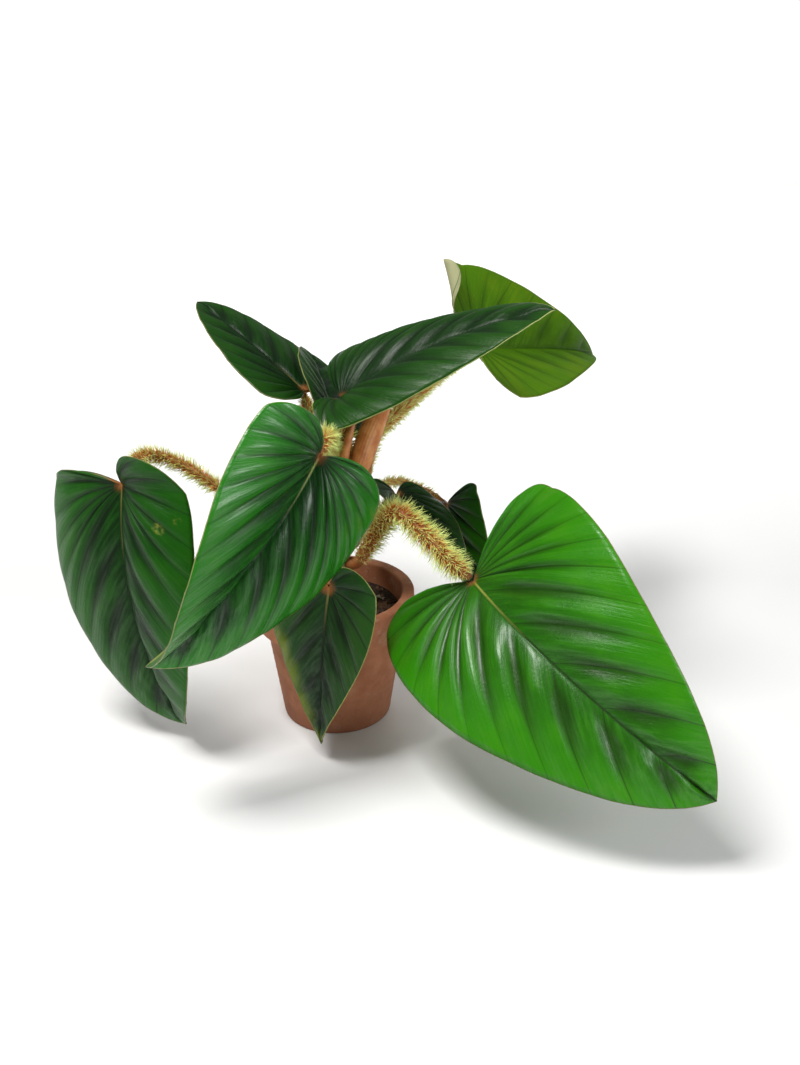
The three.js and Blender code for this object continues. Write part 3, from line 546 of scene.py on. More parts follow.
class Blade:
    """A blade in the making. Point 0 is the attach point and point 1 is the tip."""

    def __init__(self, name):
        self.name, self.row, self.shape = name, LEAVES[name], shapes[name]
        grids = rays_of[name]
        self.rays = rays = len(grids[0])
        first_free = int(np.argmax(grids[0][:, 0, 0] > 0))
        midrib = rays - 1 - first_free
        off_midrib = np.arange(2 * (rays - 1) * (POINTS_PER_RAY - 1)).reshape(2, rays - 1, -1)
        self.ids = np.zeros((2, rays, POINTS_PER_RAY), int)
        self.ids[:, first_free:-1, 0] = 2 + np.arange(midrib)
        self.ids[:, :-1, 1:] = 2 + midrib + off_midrib
        self.ids[:, -1] = 1
        self.total = self.ids.max() + 1
        self.place = np.zeros((self.total, 2))
        self.ray, self.share = np.zeros((2, self.total))
        self.half = np.zeros(self.total, int)
        for half, (ids, grid) in enumerate(zip(self.ids, grids)):
            self.place[ids] = grid
            self.ray[ids] = np.arange(rays)[:, None]
            self.share[ids] = ray_shares
            self.half[ids] = half
        self.place[0], self.place[1] = (0, 0), (1, 0)
        self.share[0], self.share[1] = 0, 1
        self.place[self.ids[0][:, 0], 1] = 0
        self.flat = self.shape.place(*self.place.T)
        self.measure()

    def measure(self):
        """Distances in millimetres, and how much room the panels between the veins have."""
        flat, rays = self.flat, np.arange(self.rays)
        last_vein = self.row["veins"] - 1
        nearest = np.minimum(np.round(rays / RAYS_PER_VEIN).astype(int), last_vein) * RAYS_PER_VEIN
        before = np.minimum(rays // RAYS_PER_VEIN, last_vein) * RAYS_PER_VEIN
        self.vein, self.rim, self.notch, self.panel = np.zeros((4, self.total))
        for ids in self.ids:
            panel = distance(flat[ids[before + RAYS_PER_VEIN]], flat[ids[before]])
            self.panel[ids] = np.clip(panel / WIDE_PANEL, 0, 1)
            self.vein[ids] = distance(flat[ids], flat[ids[nearest]])
            self.rim[ids] = distance(flat[ids], flat[ids[:, -1:]])
            from_notch = distance(flat[ids], flat[ids[:1]])
            self.notch[ids] = np.where(rays[:, None] < NOTCH_RAYS, from_notch, FAR)
        self.vein[:2] = self.rim[1] = self.notch[0] = 0
        self.rim = np.minimum(self.rim, self.notch)
        self.middle = np.abs(self.place[:, 1]) * np.array(self.row["half_width"])[self.half]
        self.base = distance(flat, self.shape.attach)

    def patches(self, key):
        """1 inside the marks or the faded patches of the table, and 0 well outside them."""
        patch = np.zeros(self.total)
        for along, across, size in self.row[key]:
            centre = self.shape.place(np.array([along]), np.array([across]))
            patch = np.maximum(patch, np.clip(1.5 - distance(self.flat, centre) / size, 0, 1))
        return patch

    def faces(self):
        """Quads between neighbouring rays, which are triangles where two corners are one point."""
        faces = []
        for half, ids in enumerate(self.ids):
            quads = np.stack([ids[:-1, :-1], ids[:-1, 1:], ids[1:, 1:], ids[1:, :-1]], axis=-1)
            for quad in quads.reshape(-1, 4).tolist():
                corners = [corner for k, corner in enumerate(quad) if corner != quad[k - 1]]
                if len(set(corners)) > 2:
                    faces.append(corners if half == 0 else corners[::-1])
        return faces


plans = [Blade(name) for name in LEAVES]
print("points on each blade:", {plan.name: int(plan.total) for plan in plans})

# %% Relief and thickness
BLADE_THICKNESS = 0.8
QUILT_RISE = 2.9
QUILT = {"front_right": 1.1, "front_left": 1.0, "young": 0.3, "low_front": 0.6}
TYPICAL_QUILT = 0.7
PILLOW_SKEW, PILLOW_FULLNESS = 1.3, 0.85
QUILT_ALONG_RAY = (0, 0.09, 0.36, 0.68, 1), (0, 0.3, 1, 0.6, 0.08)
PUCKER, PUCKER_TURNS = 0.12, 22
RIM_WAVE, SLOW_WAVE, QUICK_WAVE = 0.7, 0.17, 0.43
MIDRIB_DEPTH, MIDRIB_WIDTH = 2, 2.2
MIDRIB_GROOVE, GROOVE_WIDTH = 0.8, 1.8
VEIN_DEPTH, VEIN_WIDTH = 0.9, 1.1
NOTCH_RIB, NOTCH_RIB_WIDTH = 0.8, 1.3
BASE_RIB_DEPTH, BASE_RIB_REACH = 0.6, 16


def ridge(distance, height, width):
    """A soft ridge on a line, seen across it."""
    return height * np.exp(-(distance / width) ** 2)


def blade_mesh(plan):
    """A closed blade with grooves above, ribs below and a thin, slightly waved rim."""
    share, ray = plan.share, plan.ray
    phase = np.random.default_rng(SEED + len(plan.name)).uniform(0, ANY_PHASE, 400)
    pillow = np.sin(np.pi * (ray / RAYS_PER_VEIN % 1) ** PILLOW_SKEW) ** PILLOW_FULLNESS
    reach = np.interp(share, *QUILT_ALONG_RAY) * plan.panel
    swing = phase[np.round(ray / RAYS_PER_VEIN - 0.5).astype(int) + 200 * plan.half]
    quilt = QUILT.get(plan.name, TYPICAL_QUILT) * QUILT_RISE
    puckers = np.sin(share * PUCKER_TURNS + swing) * pillow * reach
    relief = (2 * pillow - 1) * reach * quilt + PUCKER * puckers
    relief -= ridge(plan.middle, MIDRIB_GROOVE, GROOVE_WIDTH) * (share < 1)
    wave = np.sin(ray * SLOW_WAVE + swing[0]) + 0.5 * np.sin(ray * QUICK_WAVE + 2 * swing[0])
    relief += RIM_WAVE * share ** 4 * wave * np.sin(np.pi * np.clip(ray / (plan.rays - 1), 0, 1))

    rib = ridge(plan.middle, MIDRIB_DEPTH, MIDRIB_WIDTH) * (1 - plan.place[:, 0].clip(0, 1))
    rib = np.maximum(rib, ridge(plan.vein, VEIN_DEPTH, VEIN_WIDTH) * (1 - 0.8 * share))
    rib += BASE_RIB_DEPTH * np.maximum(0, 1 - plan.base / BASE_RIB_REACH)
    rib += ridge(plan.notch, NOTCH_RIB, NOTCH_RIB_WIDTH)

    normal = plan.shape.normal(*plan.place.T)
    upper = plan.flat + normal * relief[:, None]
    lower = plan.flat + normal * (relief - BLADE_THICKNESS - rib)[:, None]
    notes = {"vein": plan.vein, "middle": plan.middle, "rim": plan.rim, "notch": plan.notch,
             "base": plan.base, "along": plan.place[:, 0], "outward": share,
             "ray": ray / RAYS_PER_VEIN + 40 * plan.half, "furrow": (1 - pillow) * reach,
             "marks": plan.patches("marks"), "faded": plan.patches("faded")}
    notes = {key: np.tile(values, 2) for key, values in notes.items()}
    notes["under"] = np.repeat((0, 1), plan.total)
    faces = thick_sheet(plan.faces(), int(plan.total))
    return new_piece(f"blade_{plan.name}_fine", np.vstack([upper, lower]), faces, notes)


blades = {plan.name: blade_mesh(plan) for plan in plans}
print("blade faces:", sum(len(piece.data.polygons) for piece in blades.values()))

# %% [markdown]
# ## Leaf finishes
#
# An old leaf is dark and waxy, and a young one is a clear grass green. All have the same parts, so one
# function makes every finish from a few colours: the green itself with cloudy and streaky patches, painted
# shade in the furrows, the veins, the midrib, the thin pale rim, the orange joint where the stalk meets the
# blade, and a dull pale underside. The green is lighter toward the edge, partly the leaf's own tone and
# partly painted light shining through the thin margin. Texture painting could do it too, but these masks
# come straight from the distances in the mesh and stay sharp at any size. The gloss is a streaky clear coat
# over a rougher base, as wax lies on a leaf.

# %% Leaf finish
JOINT_COLOUR = (0.30, 0.11, 0.03)
FADED_COLOUR = (0.16, 0.21, 0.012)
MARK_COLOUR = (0.24, 0.27, 0.04)
LEAF_NOTES = ("vein", "middle", "rim", "notch", "base", "along", "outward", "under", "marks", "faded")


def leaf_finish(name, centre, edge, vein_and_shade_colour, rib_colour, rim_colour, under_colour, gloss, coat, shine):
    finish = Finish(name, centre)
    vein, middle, rim, notch, base, along, outward, under, mark, faded = map(finish.attribute, LEAF_NOTES)
    clouds, cells, pores = finish.noise(30, 4), finish.noise(420, 3), finish.noise(2600, 2)
    with_veins = {0: finish.attribute("ray") * 9, 1: outward * 2.5}
    streaks = finish.noise(1, 4, finish.add("ShaderNodeCombineXYZ", {}, with_veins), 0.6)

    # The green goes from the centre's colour to the edge's, in streaks, grains and warm clouds. The lighter
    # edge is partly the leaf's own tone and partly painted light shining through the thin margin.
    finish.over((outward + clouds * 0.7 + streaks * 0.25).ramp(0.55, 1.45), edge)
    finish.over(streaks.ramp(0.4, 0.7) * 0.4, edge)
    finish.over(cells.ramp(0.5, 0.8) * 0.15, edge)
    warm = (edge[0] * 1.9, edge[1] * 1.15, edge[2])
    finish.over((clouds * 0.6 + streaks * 0.5).ramp(0.5, 0.7) * outward * 0.5, warm)

    # Painted shade darkens the furrows in the vein colour, less so toward the rim. Veins, rim and midrib
    # are drawn over it, and their edges are in millimetres.
    groove = finish.attribute("furrow").ramp(0.06, 0.7) * outward.ramp(0.55, 1.0, 1, 0.4)
    finish.over(groove * 0.75, vein_and_shade_colour)
    # The vein lines are partly the veins' own darker tone and partly painted shade in the grooves they run
    # in.
    vein_line = vein.ramp(0.2, 1.0, 1, 0)
    finish.over(vein_line * middle.ramp(0, 70, 0.9, 0.35), vein_and_shade_colour)
    finish.over((rim + cells * 0.7).ramp(0.5, 1.15, 1, 0) * 0.9, rim_colour)
    rib_line = (middle + cells * 0.4).ramp(0.5, 1.5, 1, 0)
    # Past the base the midrib turns to the dark vein colour: partly its own tone, partly painted shade in
    # its groove.
    rib_tone = finish.mix((along + clouds * 0.2).ramp(0.12, 0.42), rib_colour, vein_and_shade_colour)
    finish.over(rib_line * 0.9, rib_tone)

    # Then come age, the underside and the joint with the stalk, which runs a little way up the notch.
    finish.over((faded * (0.4 + clouds)).ramp(0.2, 1.1), FADED_COLOUR)
    old = (mark * streaks * cells).ramp(0.16, 0.42)
    finish.over(old * 0.8, MARK_COLOUR)
    below = finish.mix(finish.sum("MAXIMUM", vein_line, rib_line) * 0.8, under_colour, rib_colour)
    finish.over(under, below)
    up_notch = (notch + cells).ramp(0.9, 2.0, 1, 0) * base.ramp(9, 15, 1, 0)
    joint = finish.sum("MAXIMUM", (base + cells * 5).ramp(3, 11, 1, 0), up_notch)
    finish.over(joint * 0.9, JOINT_COLOUR)

    rough = clouds * 0.1 + pores * 0.06 + streaks * 0.12 + (gloss - 0.12) + under * 0.25 + old * 0.2
    wax = (1 - under) * streaks.ramp(0.4, 0.62, 0, coat * 2)
    relief = finish.bump(streaks * 0.65 + cells * 0.25 + pores * 0.1, 0.0012, 0.8)
    return finish.done(Roughness=rough, Normal=relief, Specular_IOR_Level=shine,
                       Coat_Weight=wax, Coat_Roughness=0.2)


print("notes that a leaf finish reads:", len(LEAF_NOTES) + 2)

# %% Seven leaf finishes
# Colours of centre, edge, vein (also the furrows' painted shade), midrib, rim and underside, then base
# roughness, coat and shine.
LEAF_FINISHES = {
    "old leaf": ((0.005, 0.028, 0.004), (0.013, 0.112, 0.004), (0.004, 0.012, 0.004),
                 (0.20, 0.20, 0.05), (0.22, 0.20, 0.07), (0.05, 0.11, 0.03), 0.30, 0.12, 0.12),
    "aged leaf": ((0.008, 0.028, 0.008), (0.016, 0.070, 0.009), (0.006, 0.014, 0.005),
                  (0.18, 0.16, 0.05), (0.52, 0.50, 0.14), (0.06, 0.10, 0.03), 0.30, 0.16, 0.14),
    "crisp leaf": ((0.005, 0.024, 0.004), (0.010, 0.060, 0.003), (0.006, 0.020, 0.005),
                   (0.20, 0.26, 0.08), (0.52, 0.56, 0.20), (0.06, 0.14, 0.03), 0.30, 0.06, 0.14),
    # The shaded leaf is the old leaf in darker colours, as painted shade for leaves deep inside the plant.
    "shaded leaf": ((0.004, 0.019, 0.004), (0.008, 0.050, 0.003), (0.004, 0.012, 0.004),
                    (0.16, 0.14, 0.04), (0.26, 0.24, 0.09), (0.05, 0.11, 0.03), 0.30, 0.05, 0.12),
    "glossy leaf": ((0.006, 0.040, 0.007), (0.016, 0.175, 0.006), (0.005, 0.020, 0.005),
                    (0.30, 0.34, 0.08), (0.34, 0.32, 0.12), (0.06, 0.14, 0.04), 0.26, 0.3, 0.28),
    "bright leaf": ((0.015, 0.100, 0.003), (0.030, 0.225, 0.002), (0.012, 0.045, 0.003),
                    (0.32, 0.34, 0.06), (0.20, 0.17, 0.05), (0.10, 0.24, 0.03), 0.30, 0.18, 0.2),
    "young leaf": ((0.042, 0.112, 0.002), (0.062, 0.165, 0.003), (0.026, 0.075, 0.002),
                   (0.05, 0.11, 0.008), (0.25, 0.28, 0.06), (0.36, 0.36, 0.20), 0.42, 0.0, 0.1),
}
WORN_BY = {"upper_left": "shaded leaf", "back": "shaded leaf", "rear_right": "shaded leaf",
           "front_right": "bright leaf", "young": "young leaf", "front_left": "glossy leaf",
           "upper_right": "crisp leaf", "low_front": "aged leaf"}
BRIGHT_SLOT = ("bright leaf", "young leaf")
leaf_materials = {name: leaf_finish(name, *row) for name, row in LEAF_FINISHES.items()}
for name, piece in blades.items():
    worn = WORN_BY.get(name, "old leaf")
    slot = "bright_leaf" if worn in BRIGHT_SLOT else "old_leaf"
    settle(piece, leaf_materials[worn], slot, f"blade_{name}")
print("leaf finishes:", len(leaf_materials))

# %% [markdown]
# ## Stalks and their bristles
#
# The stalks of this species are shaggy: soft tapering scales stand off them all round and lean toward
# the blade. Particle hair is the usual tool, but it vanishes when a model is exported. So each stalk is a
# plain tube, and Geometry Nodes set a small curved spike on it again and again, then turn the copies
# into real mesh. Every spike knows how far each of its points is from its root, for the colour.

# %% The stem's path and a maker of tubes
STEM_RADIUS, STEM_TIP_RADIUS = 11, 8
STEM_BOTTOM, STEM_TOP = 64.35, 226
NODE_SPACING, NODE_SWELLING = 15, 1.2
SEAT_GAP = 0.35
GENTLE = 0.25
stem_route = np.array([(0, 0, STEM_BOTTOM), (0, 0, 102), (6.3, -2.25, 162), (14, -5, STEM_TOP)], float)
stem_path = smooth_curve(stem_route, 400, GENTLE)


def around(sides):
    """Evenly spaced angles for a closed ring."""
    return np.linspace(0, 2 * np.pi, sides, endpoint=False)


def tube(path, radius, sides, rough=0.0):
    """A closed tube along a path. Its frame turns as little as it can from ring to ring."""
    ahead = unit(np.gradient(path, axis=0))
    across = np.cross(ahead[0], (0.3, 0.9, 0.1))
    turn = around(sides)
    reach = radius[:, None] + rough + np.zeros((1, sides))
    rings = []
    for centre, forward, ring_reach in zip(path, ahead, reach):
        across = across - across.dot(forward) * forward
        across /= np.linalg.norm(across)
        aside = np.cross(forward, across)
        spokes = np.cos(turn)[:, None] * across + np.sin(turn)[:, None] * aside
        rings.append(centre + spokes * ring_reach[:, None])
    points = np.vstack(rings + [path[:1], path[-1:]])
    end = len(path) * sides
    around_ring = [(k, (k + 1) % sides) for k in range(sides)]
    faces = [(ring + k, ring + n, ring + sides + n, ring + sides + k)
             for ring in range(0, end - sides, sides) for k, n in around_ring]
    for k, n in around_ring:
        faces += [(end, n, k), (end + 1, end - sides + k, end - sides + n)]
    return points, faces, np.vstack([np.repeat(ahead, sides, axis=0), ahead[:1], ahead[-1:]])


print("stem length, mm:", round(float(travel(stem_path)[-1])))

# %% [markdown]
# ### Where a stalk runs
#
# A stalk goes from the stem's side to the underside of its blade. The measured stalk says where it is
# cut at both ends, so the fine one starts and stops there as well.

# %% Stalk paths
STALK_RADIUS, STALK_FOOT_RADIUS, STALK_NECK_RADIUS = 4.2, 5.4, 2.6
ROUTE_POINTS, ROUTE_STRIDE, STALK_RINGS = 1500, 12, 120
INTO_STEM = 2.5


def node_points(name):
    """The corners of a measured piece, in millimetres."""
    mesh = bpy.data.objects[name].data
    corners = np.empty(len(mesh.vertices) * 3)
    mesh.vertices.foreach_get("co", corners)
    return corners.reshape(-1, 3) / MM


def stalk_path(name):
    row, shape = LEAVES[name], shapes[name]
    share = (row["stem_height"] - STEM_BOTTOM) / (STEM_TOP - STEM_BOTTOM)
    bearing = math.radians(row["stem_bearing"])
    outward = np.array([math.cos(bearing), math.sin(bearing), 0])
    stem_radius = STEM_RADIUS + (STEM_TIP_RADIUS - STEM_RADIUS) * share + NODE_SWELLING
    foot = stem_path[round(share * (len(stem_path) - 1))] + outward * (stem_radius + SEAT_GAP)
    second = foot + outward * STALK_FOOT_RADIUS + (0, 0, 2)
    end = shape.attach - shape.face * (BLADE_THICKNESS + MIDRIB_DEPTH / 2)
    route = smooth_curve(np.vstack([foot, second, row["via"], end]), ROUTE_POINTS, GENTLE)
    nearest = [int(np.argmin(np.sum((route - corner) ** 2, axis=1)))
               for corner in node_points(f"stalk_{name}")]
    start, stop = min(nearest), min(max(nearest), ROUTE_POINTS - 1)
    rooted = route[start] - outward * INTO_STEM
    kept = np.vstack([rooted, route[start:stop:ROUTE_STRIDE], route[stop]])
    return smooth_curve(kept, STALK_RINGS, GENTLE)


stalk_paths = {name: stalk_path(name) for name in LEAVES}
print("stalk lengths, mm:", {name: round(float(travel(path)[-1])) for name, path in stalk_paths.items()})

# %% The stalks' tubes
STALK_SIDES = 18
BARE_FOOT, FULL_GROWTH = 14, 30
BLADE_ROOM, STALK_ROOM, BRISTLE_ROOM = 0.5, 7, 9
all_blades = np.vstack([shapes[name].place(*grid.reshape(-1, 2)[::7].T)
                        for name, grids in rays_of.items() for grid in grids])


def ease(value, start, end):
    share = np.clip((value - start) / (end - start), 0, 1)
    return share * share * (3 - 2 * share)


def clearance(points, others):
    """The distance from each point to the nearest of the others."""
    tree = KDTree(len(others))
    for index, other in enumerate(others):
        tree.insert(other, index)
    tree.balance()
    return np.array([tree.find(point)[2] for point in points])


def stalk_mesh(name):
    """A tube that notes how much room its bristles have and where they point."""
    path, scale = stalk_paths[name], LEAVES[name]["stalk"]
    travelled = travel(path)
    length = travelled[-1]
    slimming = ease(travelled, 0, 4 * STALK_FOOT_RADIUS)
    body = STALK_FOOT_RADIUS + (STALK_RADIUS - STALK_FOOT_RADIUS) * slimming
    neck = ease(length - travelled, 0, 2 * STALK_RADIUS)
    radius = scale * (STALK_NECK_RADIUS + (body - STALK_NECK_RADIUS) * neck)
    rough = np.random.default_rng(SEED + len(name)).normal(0, 0.05, (len(path), STALK_SIDES))
    points, faces, ahead = tube(path, radius, STALK_SIDES, rough)
    along = np.r_[np.repeat(travelled, STALK_SIDES), 0, length]
    ends = np.minimum(along - BARE_FOOT, length - along - 1)
    others = np.vstack([stem_path] + [stalk_paths[other] for other in LEAVES if other != name])
    room = np.minimum(clearance(points, all_blades) - BLADE_ROOM, clearance(points, others) - STALK_ROOM)
    growth = np.clip(0.4 + ends / FULL_GROWTH, 0, 1) * (ends > 0) * np.clip(room / BRISTLE_ROOM, 0, 1)
    notes = {"growth": growth * scale, "ahead": ahead, "toward_blade": along / length}
    return new_piece(f"stalk_{name}_fine", points, faces, notes)


stalks = {name: stalk_mesh(name) for name in LEAVES}
print("stalk faces:", sum(len(piece.data.polygons) for piece in stalks.values()))


# %% A small language for geometry trees
class Tree:
    """A Geometry Nodes tree with named inputs."""

    def __init__(self, name, **sizes):
        self.tree = bpy.data.node_groups.new(name, "GeometryNodeTree")
        face = self.tree.interface
        for way in ("INPUT", "OUTPUT"):
            face.new_socket("Geometry", in_out=way, socket_type="NodeSocketGeometry")
        self.sockets = {}
        for key, value in sizes.items():
            kind = "NodeSocketInt" if isinstance(value, int) else "NodeSocketFloat"
            socket = face.new_socket(key, in_out="INPUT", socket_type=kind)
            socket.default_value = value
            self.sockets[key] = socket.identifier
        self.size = self.tree.nodes.new("NodeGroupInput").outputs
        self.end = self.tree.nodes.new("NodeGroupOutput")

    def add(self, kind, settings=None, inputs=None, output=0):
        """Adds a node with its settings, fills or links its sockets, and returns one of its outputs."""
        node = self.tree.nodes.new(kind)
        for key, value in (settings or {}).items():
            setattr(node, key, value)
        for key, value in (inputs or {}).items():
            if isinstance(value, bpy.types.NodeSocket):
                self.tree.links.new(value, node.inputs[key])
            else:
                node.inputs[key].default_value = value
        return node.outputs[output]

    def named(self, name, kind="FLOAT"):
        return self.add("GeometryNodeInputNamedAttribute", {"data_type": kind}, {"Name": name})

    def maths(self, operation, *values):
        return self.add("ShaderNodeMath", {"operation": operation}, dict(enumerate(values)))

    def vectors(self, operation, *values):
        return self.add("ShaderNodeVectorMath", {"operation": operation}, dict(enumerate(values)))

    def scaled(self, vector, factor):
        return self.add("ShaderNodeVectorMath", {"operation": "SCALE"}, {0: vector, "Scale": factor})

    def vector(self, x, y=0.0, z=0.0):
        return self.add("ShaderNodeCombineXYZ", inputs={0: x, 1: y, 2: z})

    def random(self, low, high, seed, kind="FLOAT"):
        least, most, output = {"FLOAT": (2, 3, 1), "FLOAT_VECTOR": (0, 1, 0)}[kind]
        inputs = {least: low, most: high, "Seed": seed}
        return self.add("FunctionNodeRandomValue", {"data_type": kind}, inputs, output)

    def note(self, geometry, name, value, domain="POINT"):
        """Stores a number under a name, for the finish to read."""
        return self.add("GeometryNodeStoreNamedAttribute", {"data_type": "FLOAT", "domain": domain},
                        {"Geometry": geometry, "Name": name, "Value": value})

    def moved(self, geometry, position):
        return self.add("GeometryNodeSetPosition", inputs={"Geometry": geometry, "Position": position})

    def copy_onto_points(self, material, seed, **inputs):
        """Sets a copy on each point, gives each its own luck, and ends the tree as real mesh."""
        copies = self.add("GeometryNodeInstanceOnPoints", inputs=inputs)
        lucky = self.note(copies, "luck", self.random(0.0, 1.0, seed), "INSTANCE")
        whole = self.add("GeometryNodeRealizeInstances", inputs={0: lucky})
        done = self.add("GeometryNodeSetMaterial", inputs={"Geometry": whole, "Material": material})
        self.tree.links.new(done, self.end.inputs[0])

    def grow_on(self, base, name, **sizes):
        """Runs the tree on a piece and returns what grew as a plain mesh object."""
        carrier = base.copy()
        bpy.context.scene.collection.objects.link(carrier)
        modifier = carrier.modifiers.new("grow", "NODES")
        modifier.node_group = self.tree
        for key, value in sizes.items():
            modifier[self.sockets[key]] = value
        shown = carrier.evaluated_get(bpy.context.evaluated_depsgraph_get())
        mesh = bpy.data.meshes.new_from_object(shown)
        mesh.name = name
        bpy.data.objects.remove(carrier)
        piece = bpy.data.objects.new(name, mesh)
        bpy.context.scene.collection.objects.link(piece)
        return piece


print("tree maker is ready")

# %% [markdown]
# ### The bristles' finish
#
# A live bristle is reddish brown at its root, tan along its middle and pale yellow-green at its tip, and
# no two are quite alike. The tan and the pale tip are also made lighter than the scale's own colour, as
# painted light shining through the thin scales. The tree stores the share from root to tip and a random
# number for each bristle.

# %% Bristle and stalk finishes
bristly = Finish("bristle", (0.62, 0.17, 0.035))
tip_share, luck = bristly.attribute("tip_share"), bristly.attribute("luck")
# The straw and tip colours are partly the scale's own and partly painted light shining through it.
straw = bristly.mix(luck, (0.82, 0.56, 0.16), (0.84, 0.80, 0.27))
bristly.over(tip_share.ramp(0.08, 0.42), straw)
bristly.over((tip_share + luck * 0.3).ramp(0.4, 0.9), (0.76, 0.90, 0.30))
BRISTLE = bristly.done(Roughness=0.5 + luck * 0.2, Specular_IOR_Level=0.4)

skin = Finish("stalk skin", (0.34, 0.10, 0.025))
grain, patches = skin.noise(900, 3), skin.noise(120, 3)
skin.over(patches.ramp(0.35, 0.65), (0.42, 0.20, 0.06))
skin.over(grain.ramp(0.5, 0.75) * 0.6, (0.28, 0.24, 0.08))
skin.over((skin.attribute("toward_blade") + patches * 0.1).ramp(0.9, 1.02), (0.3, 0.11, 0.025))
STALK_SKIN = skin.done(Roughness=grain * 0.3 + 0.4, Normal=skin.bump(grain, 0.0004, 0.8))
print("stalk finishes:", BRISTLE.name, "and", STALK_SKIN.name)

# %% A bristle
BRISTLE_LENGTH = {"front_right": 0.013, "young": 0.0075}
TYPICAL_BRISTLE = 0.0105
TIP_SHARE, BOW, STRAY = 0.1, 0.16, 0.45
LEAST_GROWTH = 0.12
bristles = Tree("bristles", Length=TYPICAL_BRISTLE, Width=0.00046, Density=560000.0, Lean=0.6, Seed=SEED)
size = bristles.size
spike = bristles.add("GeometryNodeMeshCone", {"fill_type": "NONE"}, {
    "Vertices": 3, "Side Segments": 4, "Radius Top": TIP_SHARE, "Radius Bottom": 1.0, "Depth": 1.0})
position = bristles.add("GeometryNodeInputPosition")
height = bristles.add("ShaderNodeSeparateXYZ", inputs={0: position}, output=2)
real_size = bristles.vector(size["Width"], size["Width"], size["Length"])
sized = bristles.vectors("MULTIPLY", position, real_size)
bend = bristles.maths("MULTIPLY", bristles.maths("MULTIPLY", height, height),
                      bristles.maths("MULTIPLY", size["Length"], BOW))
bowed = bristles.vectors("ADD", sized, bristles.vector(bend))
shaped = bristles.moved(bristles.note(spike, "tip_share", height), bowed)
print("bristle inputs:", list(bristles.sockets))

# %% Growing the bristles
scatter = bristles.add("GeometryNodeDistributePointsOnFaces", {"distribute_method": "RANDOM"}, {
    "Mesh": size["Geometry"], "Density": size["Density"], "Seed": size["Seed"]})
growth = bristles.named("growth")
stray = bristles.random((-STRAY,) * 3, (STRAY,) * 3, 3, "FLOAT_VECTOR")
leaning = bristles.scaled(bristles.named("ahead", "FLOAT_VECTOR"), size["Lean"])
aim = bristles.vectors("ADD", bristles.vectors("ADD", scatter.node.outputs["Normal"], leaning), stray)
turned = bristles.add("FunctionNodeAlignRotationToVector", {"axis": "Z"}, {"Vector": aim})
spun = bristles.add("FunctionNodeAxisAngleToRotation", inputs={
    "Axis": (0, 0, 1), "Angle": bristles.random(0.0, ANY_PHASE, 5)})
facing = bristles.add("FunctionNodeRotateRotation", {"rotation_space": "LOCAL"}, {
    "Rotation": turned, "Rotate By": spun})
full = bristles.maths("MULTIPLY", growth, bristles.random(0.6, 1.1, 7))
wide = bristles.maths("MULTIPLY", bristles.maths("POWER", growth, 0.4), bristles.random(0.7, 1.2, 8))
enough = bristles.add("FunctionNodeCompare", {"data_type": "FLOAT", "operation": "GREATER_THAN"},
                      {0: growth, 1: LEAST_GROWTH})
bristles.copy_onto_points(BRISTLE, 9, Points=scatter, Selection=enough, Instance=shaped,
                          Rotation=facing, Scale=bristles.vector(wide, wide, full))

total = 0
for index, (name, stalk) in enumerate(stalks.items()):
    length = BRISTLE_LENGTH.get(name, TYPICAL_BRISTLE)
    fringe = bristles.grow_on(stalk, f"bristles_{name}", Length=length, Seed=SEED + index)
    total += len(fringe.data.polygons)
    settle(fringe, BRISTLE, "stalk")
    settle(stalk, STALK_SKIN, "stalk", f"stalk_{name}")
print("bristle faces:", total)

# %% [markdown]
# ## Stem
#
# The stem creeps and swells at each old leaf scar. It is turned from rings whose radius goes up and
# down, with a sharper ridge at each scar, and a bark finish that is greener toward the growing tip.

# %% Stem
STEM_SIDES, STEM_RINGS = 40, 150
BURIED = 38
SCAR_HEIGHT, SCAR_WIDTH = 0.7, 1.1
path = smooth_curve(stem_path, STEM_RINGS)
whole = travel(stem_path)[-1]
travelled = np.linspace(0, whole, STEM_RINGS)
radius = STEM_RADIUS + (STEM_TIP_RADIUS - STEM_RADIUS) * travelled / whole
swelling = NODE_SWELLING * np.cos(2 * np.pi * travelled / NODE_SPACING)
from_scar = (travelled + NODE_SPACING / 2) % NODE_SPACING - NODE_SPACING / 2
scar = ridge(from_scar, SCAR_HEIGHT, SCAR_WIDTH)
radius = radius + np.where(travelled < BURIED, 0, swelling + scar)
rounding = np.sqrt(np.maximum(0.02, (whole - travelled) / STEM_TIP_RADIUS))
radius = radius * np.where(whole - travelled < STEM_TIP_RADIUS, rounding, 1)
random = np.random.default_rng(SEED)
turn = around(STEM_SIDES)
furrows = sum(0.18 * np.sin(k * turn + random.uniform(0, ANY_PHASE)) for k in (3, 7, 12))
rough = furrows[None] + random.normal(0, 0.08, (STEM_RINGS, STEM_SIDES))
points, faces, _ = tube(path, radius, STEM_SIDES, rough * (radius[:, None] > 4))
near_scar = np.where(travelled < BURIED, 0, scar / SCAR_HEIGHT)
notes = {"scar": np.r_[np.repeat(near_scar, STEM_SIDES), 0, 0], "height": points[:, 2]}
stem = new_piece("stem_fine", points, faces, notes)
print("stem faces:", len(faces))

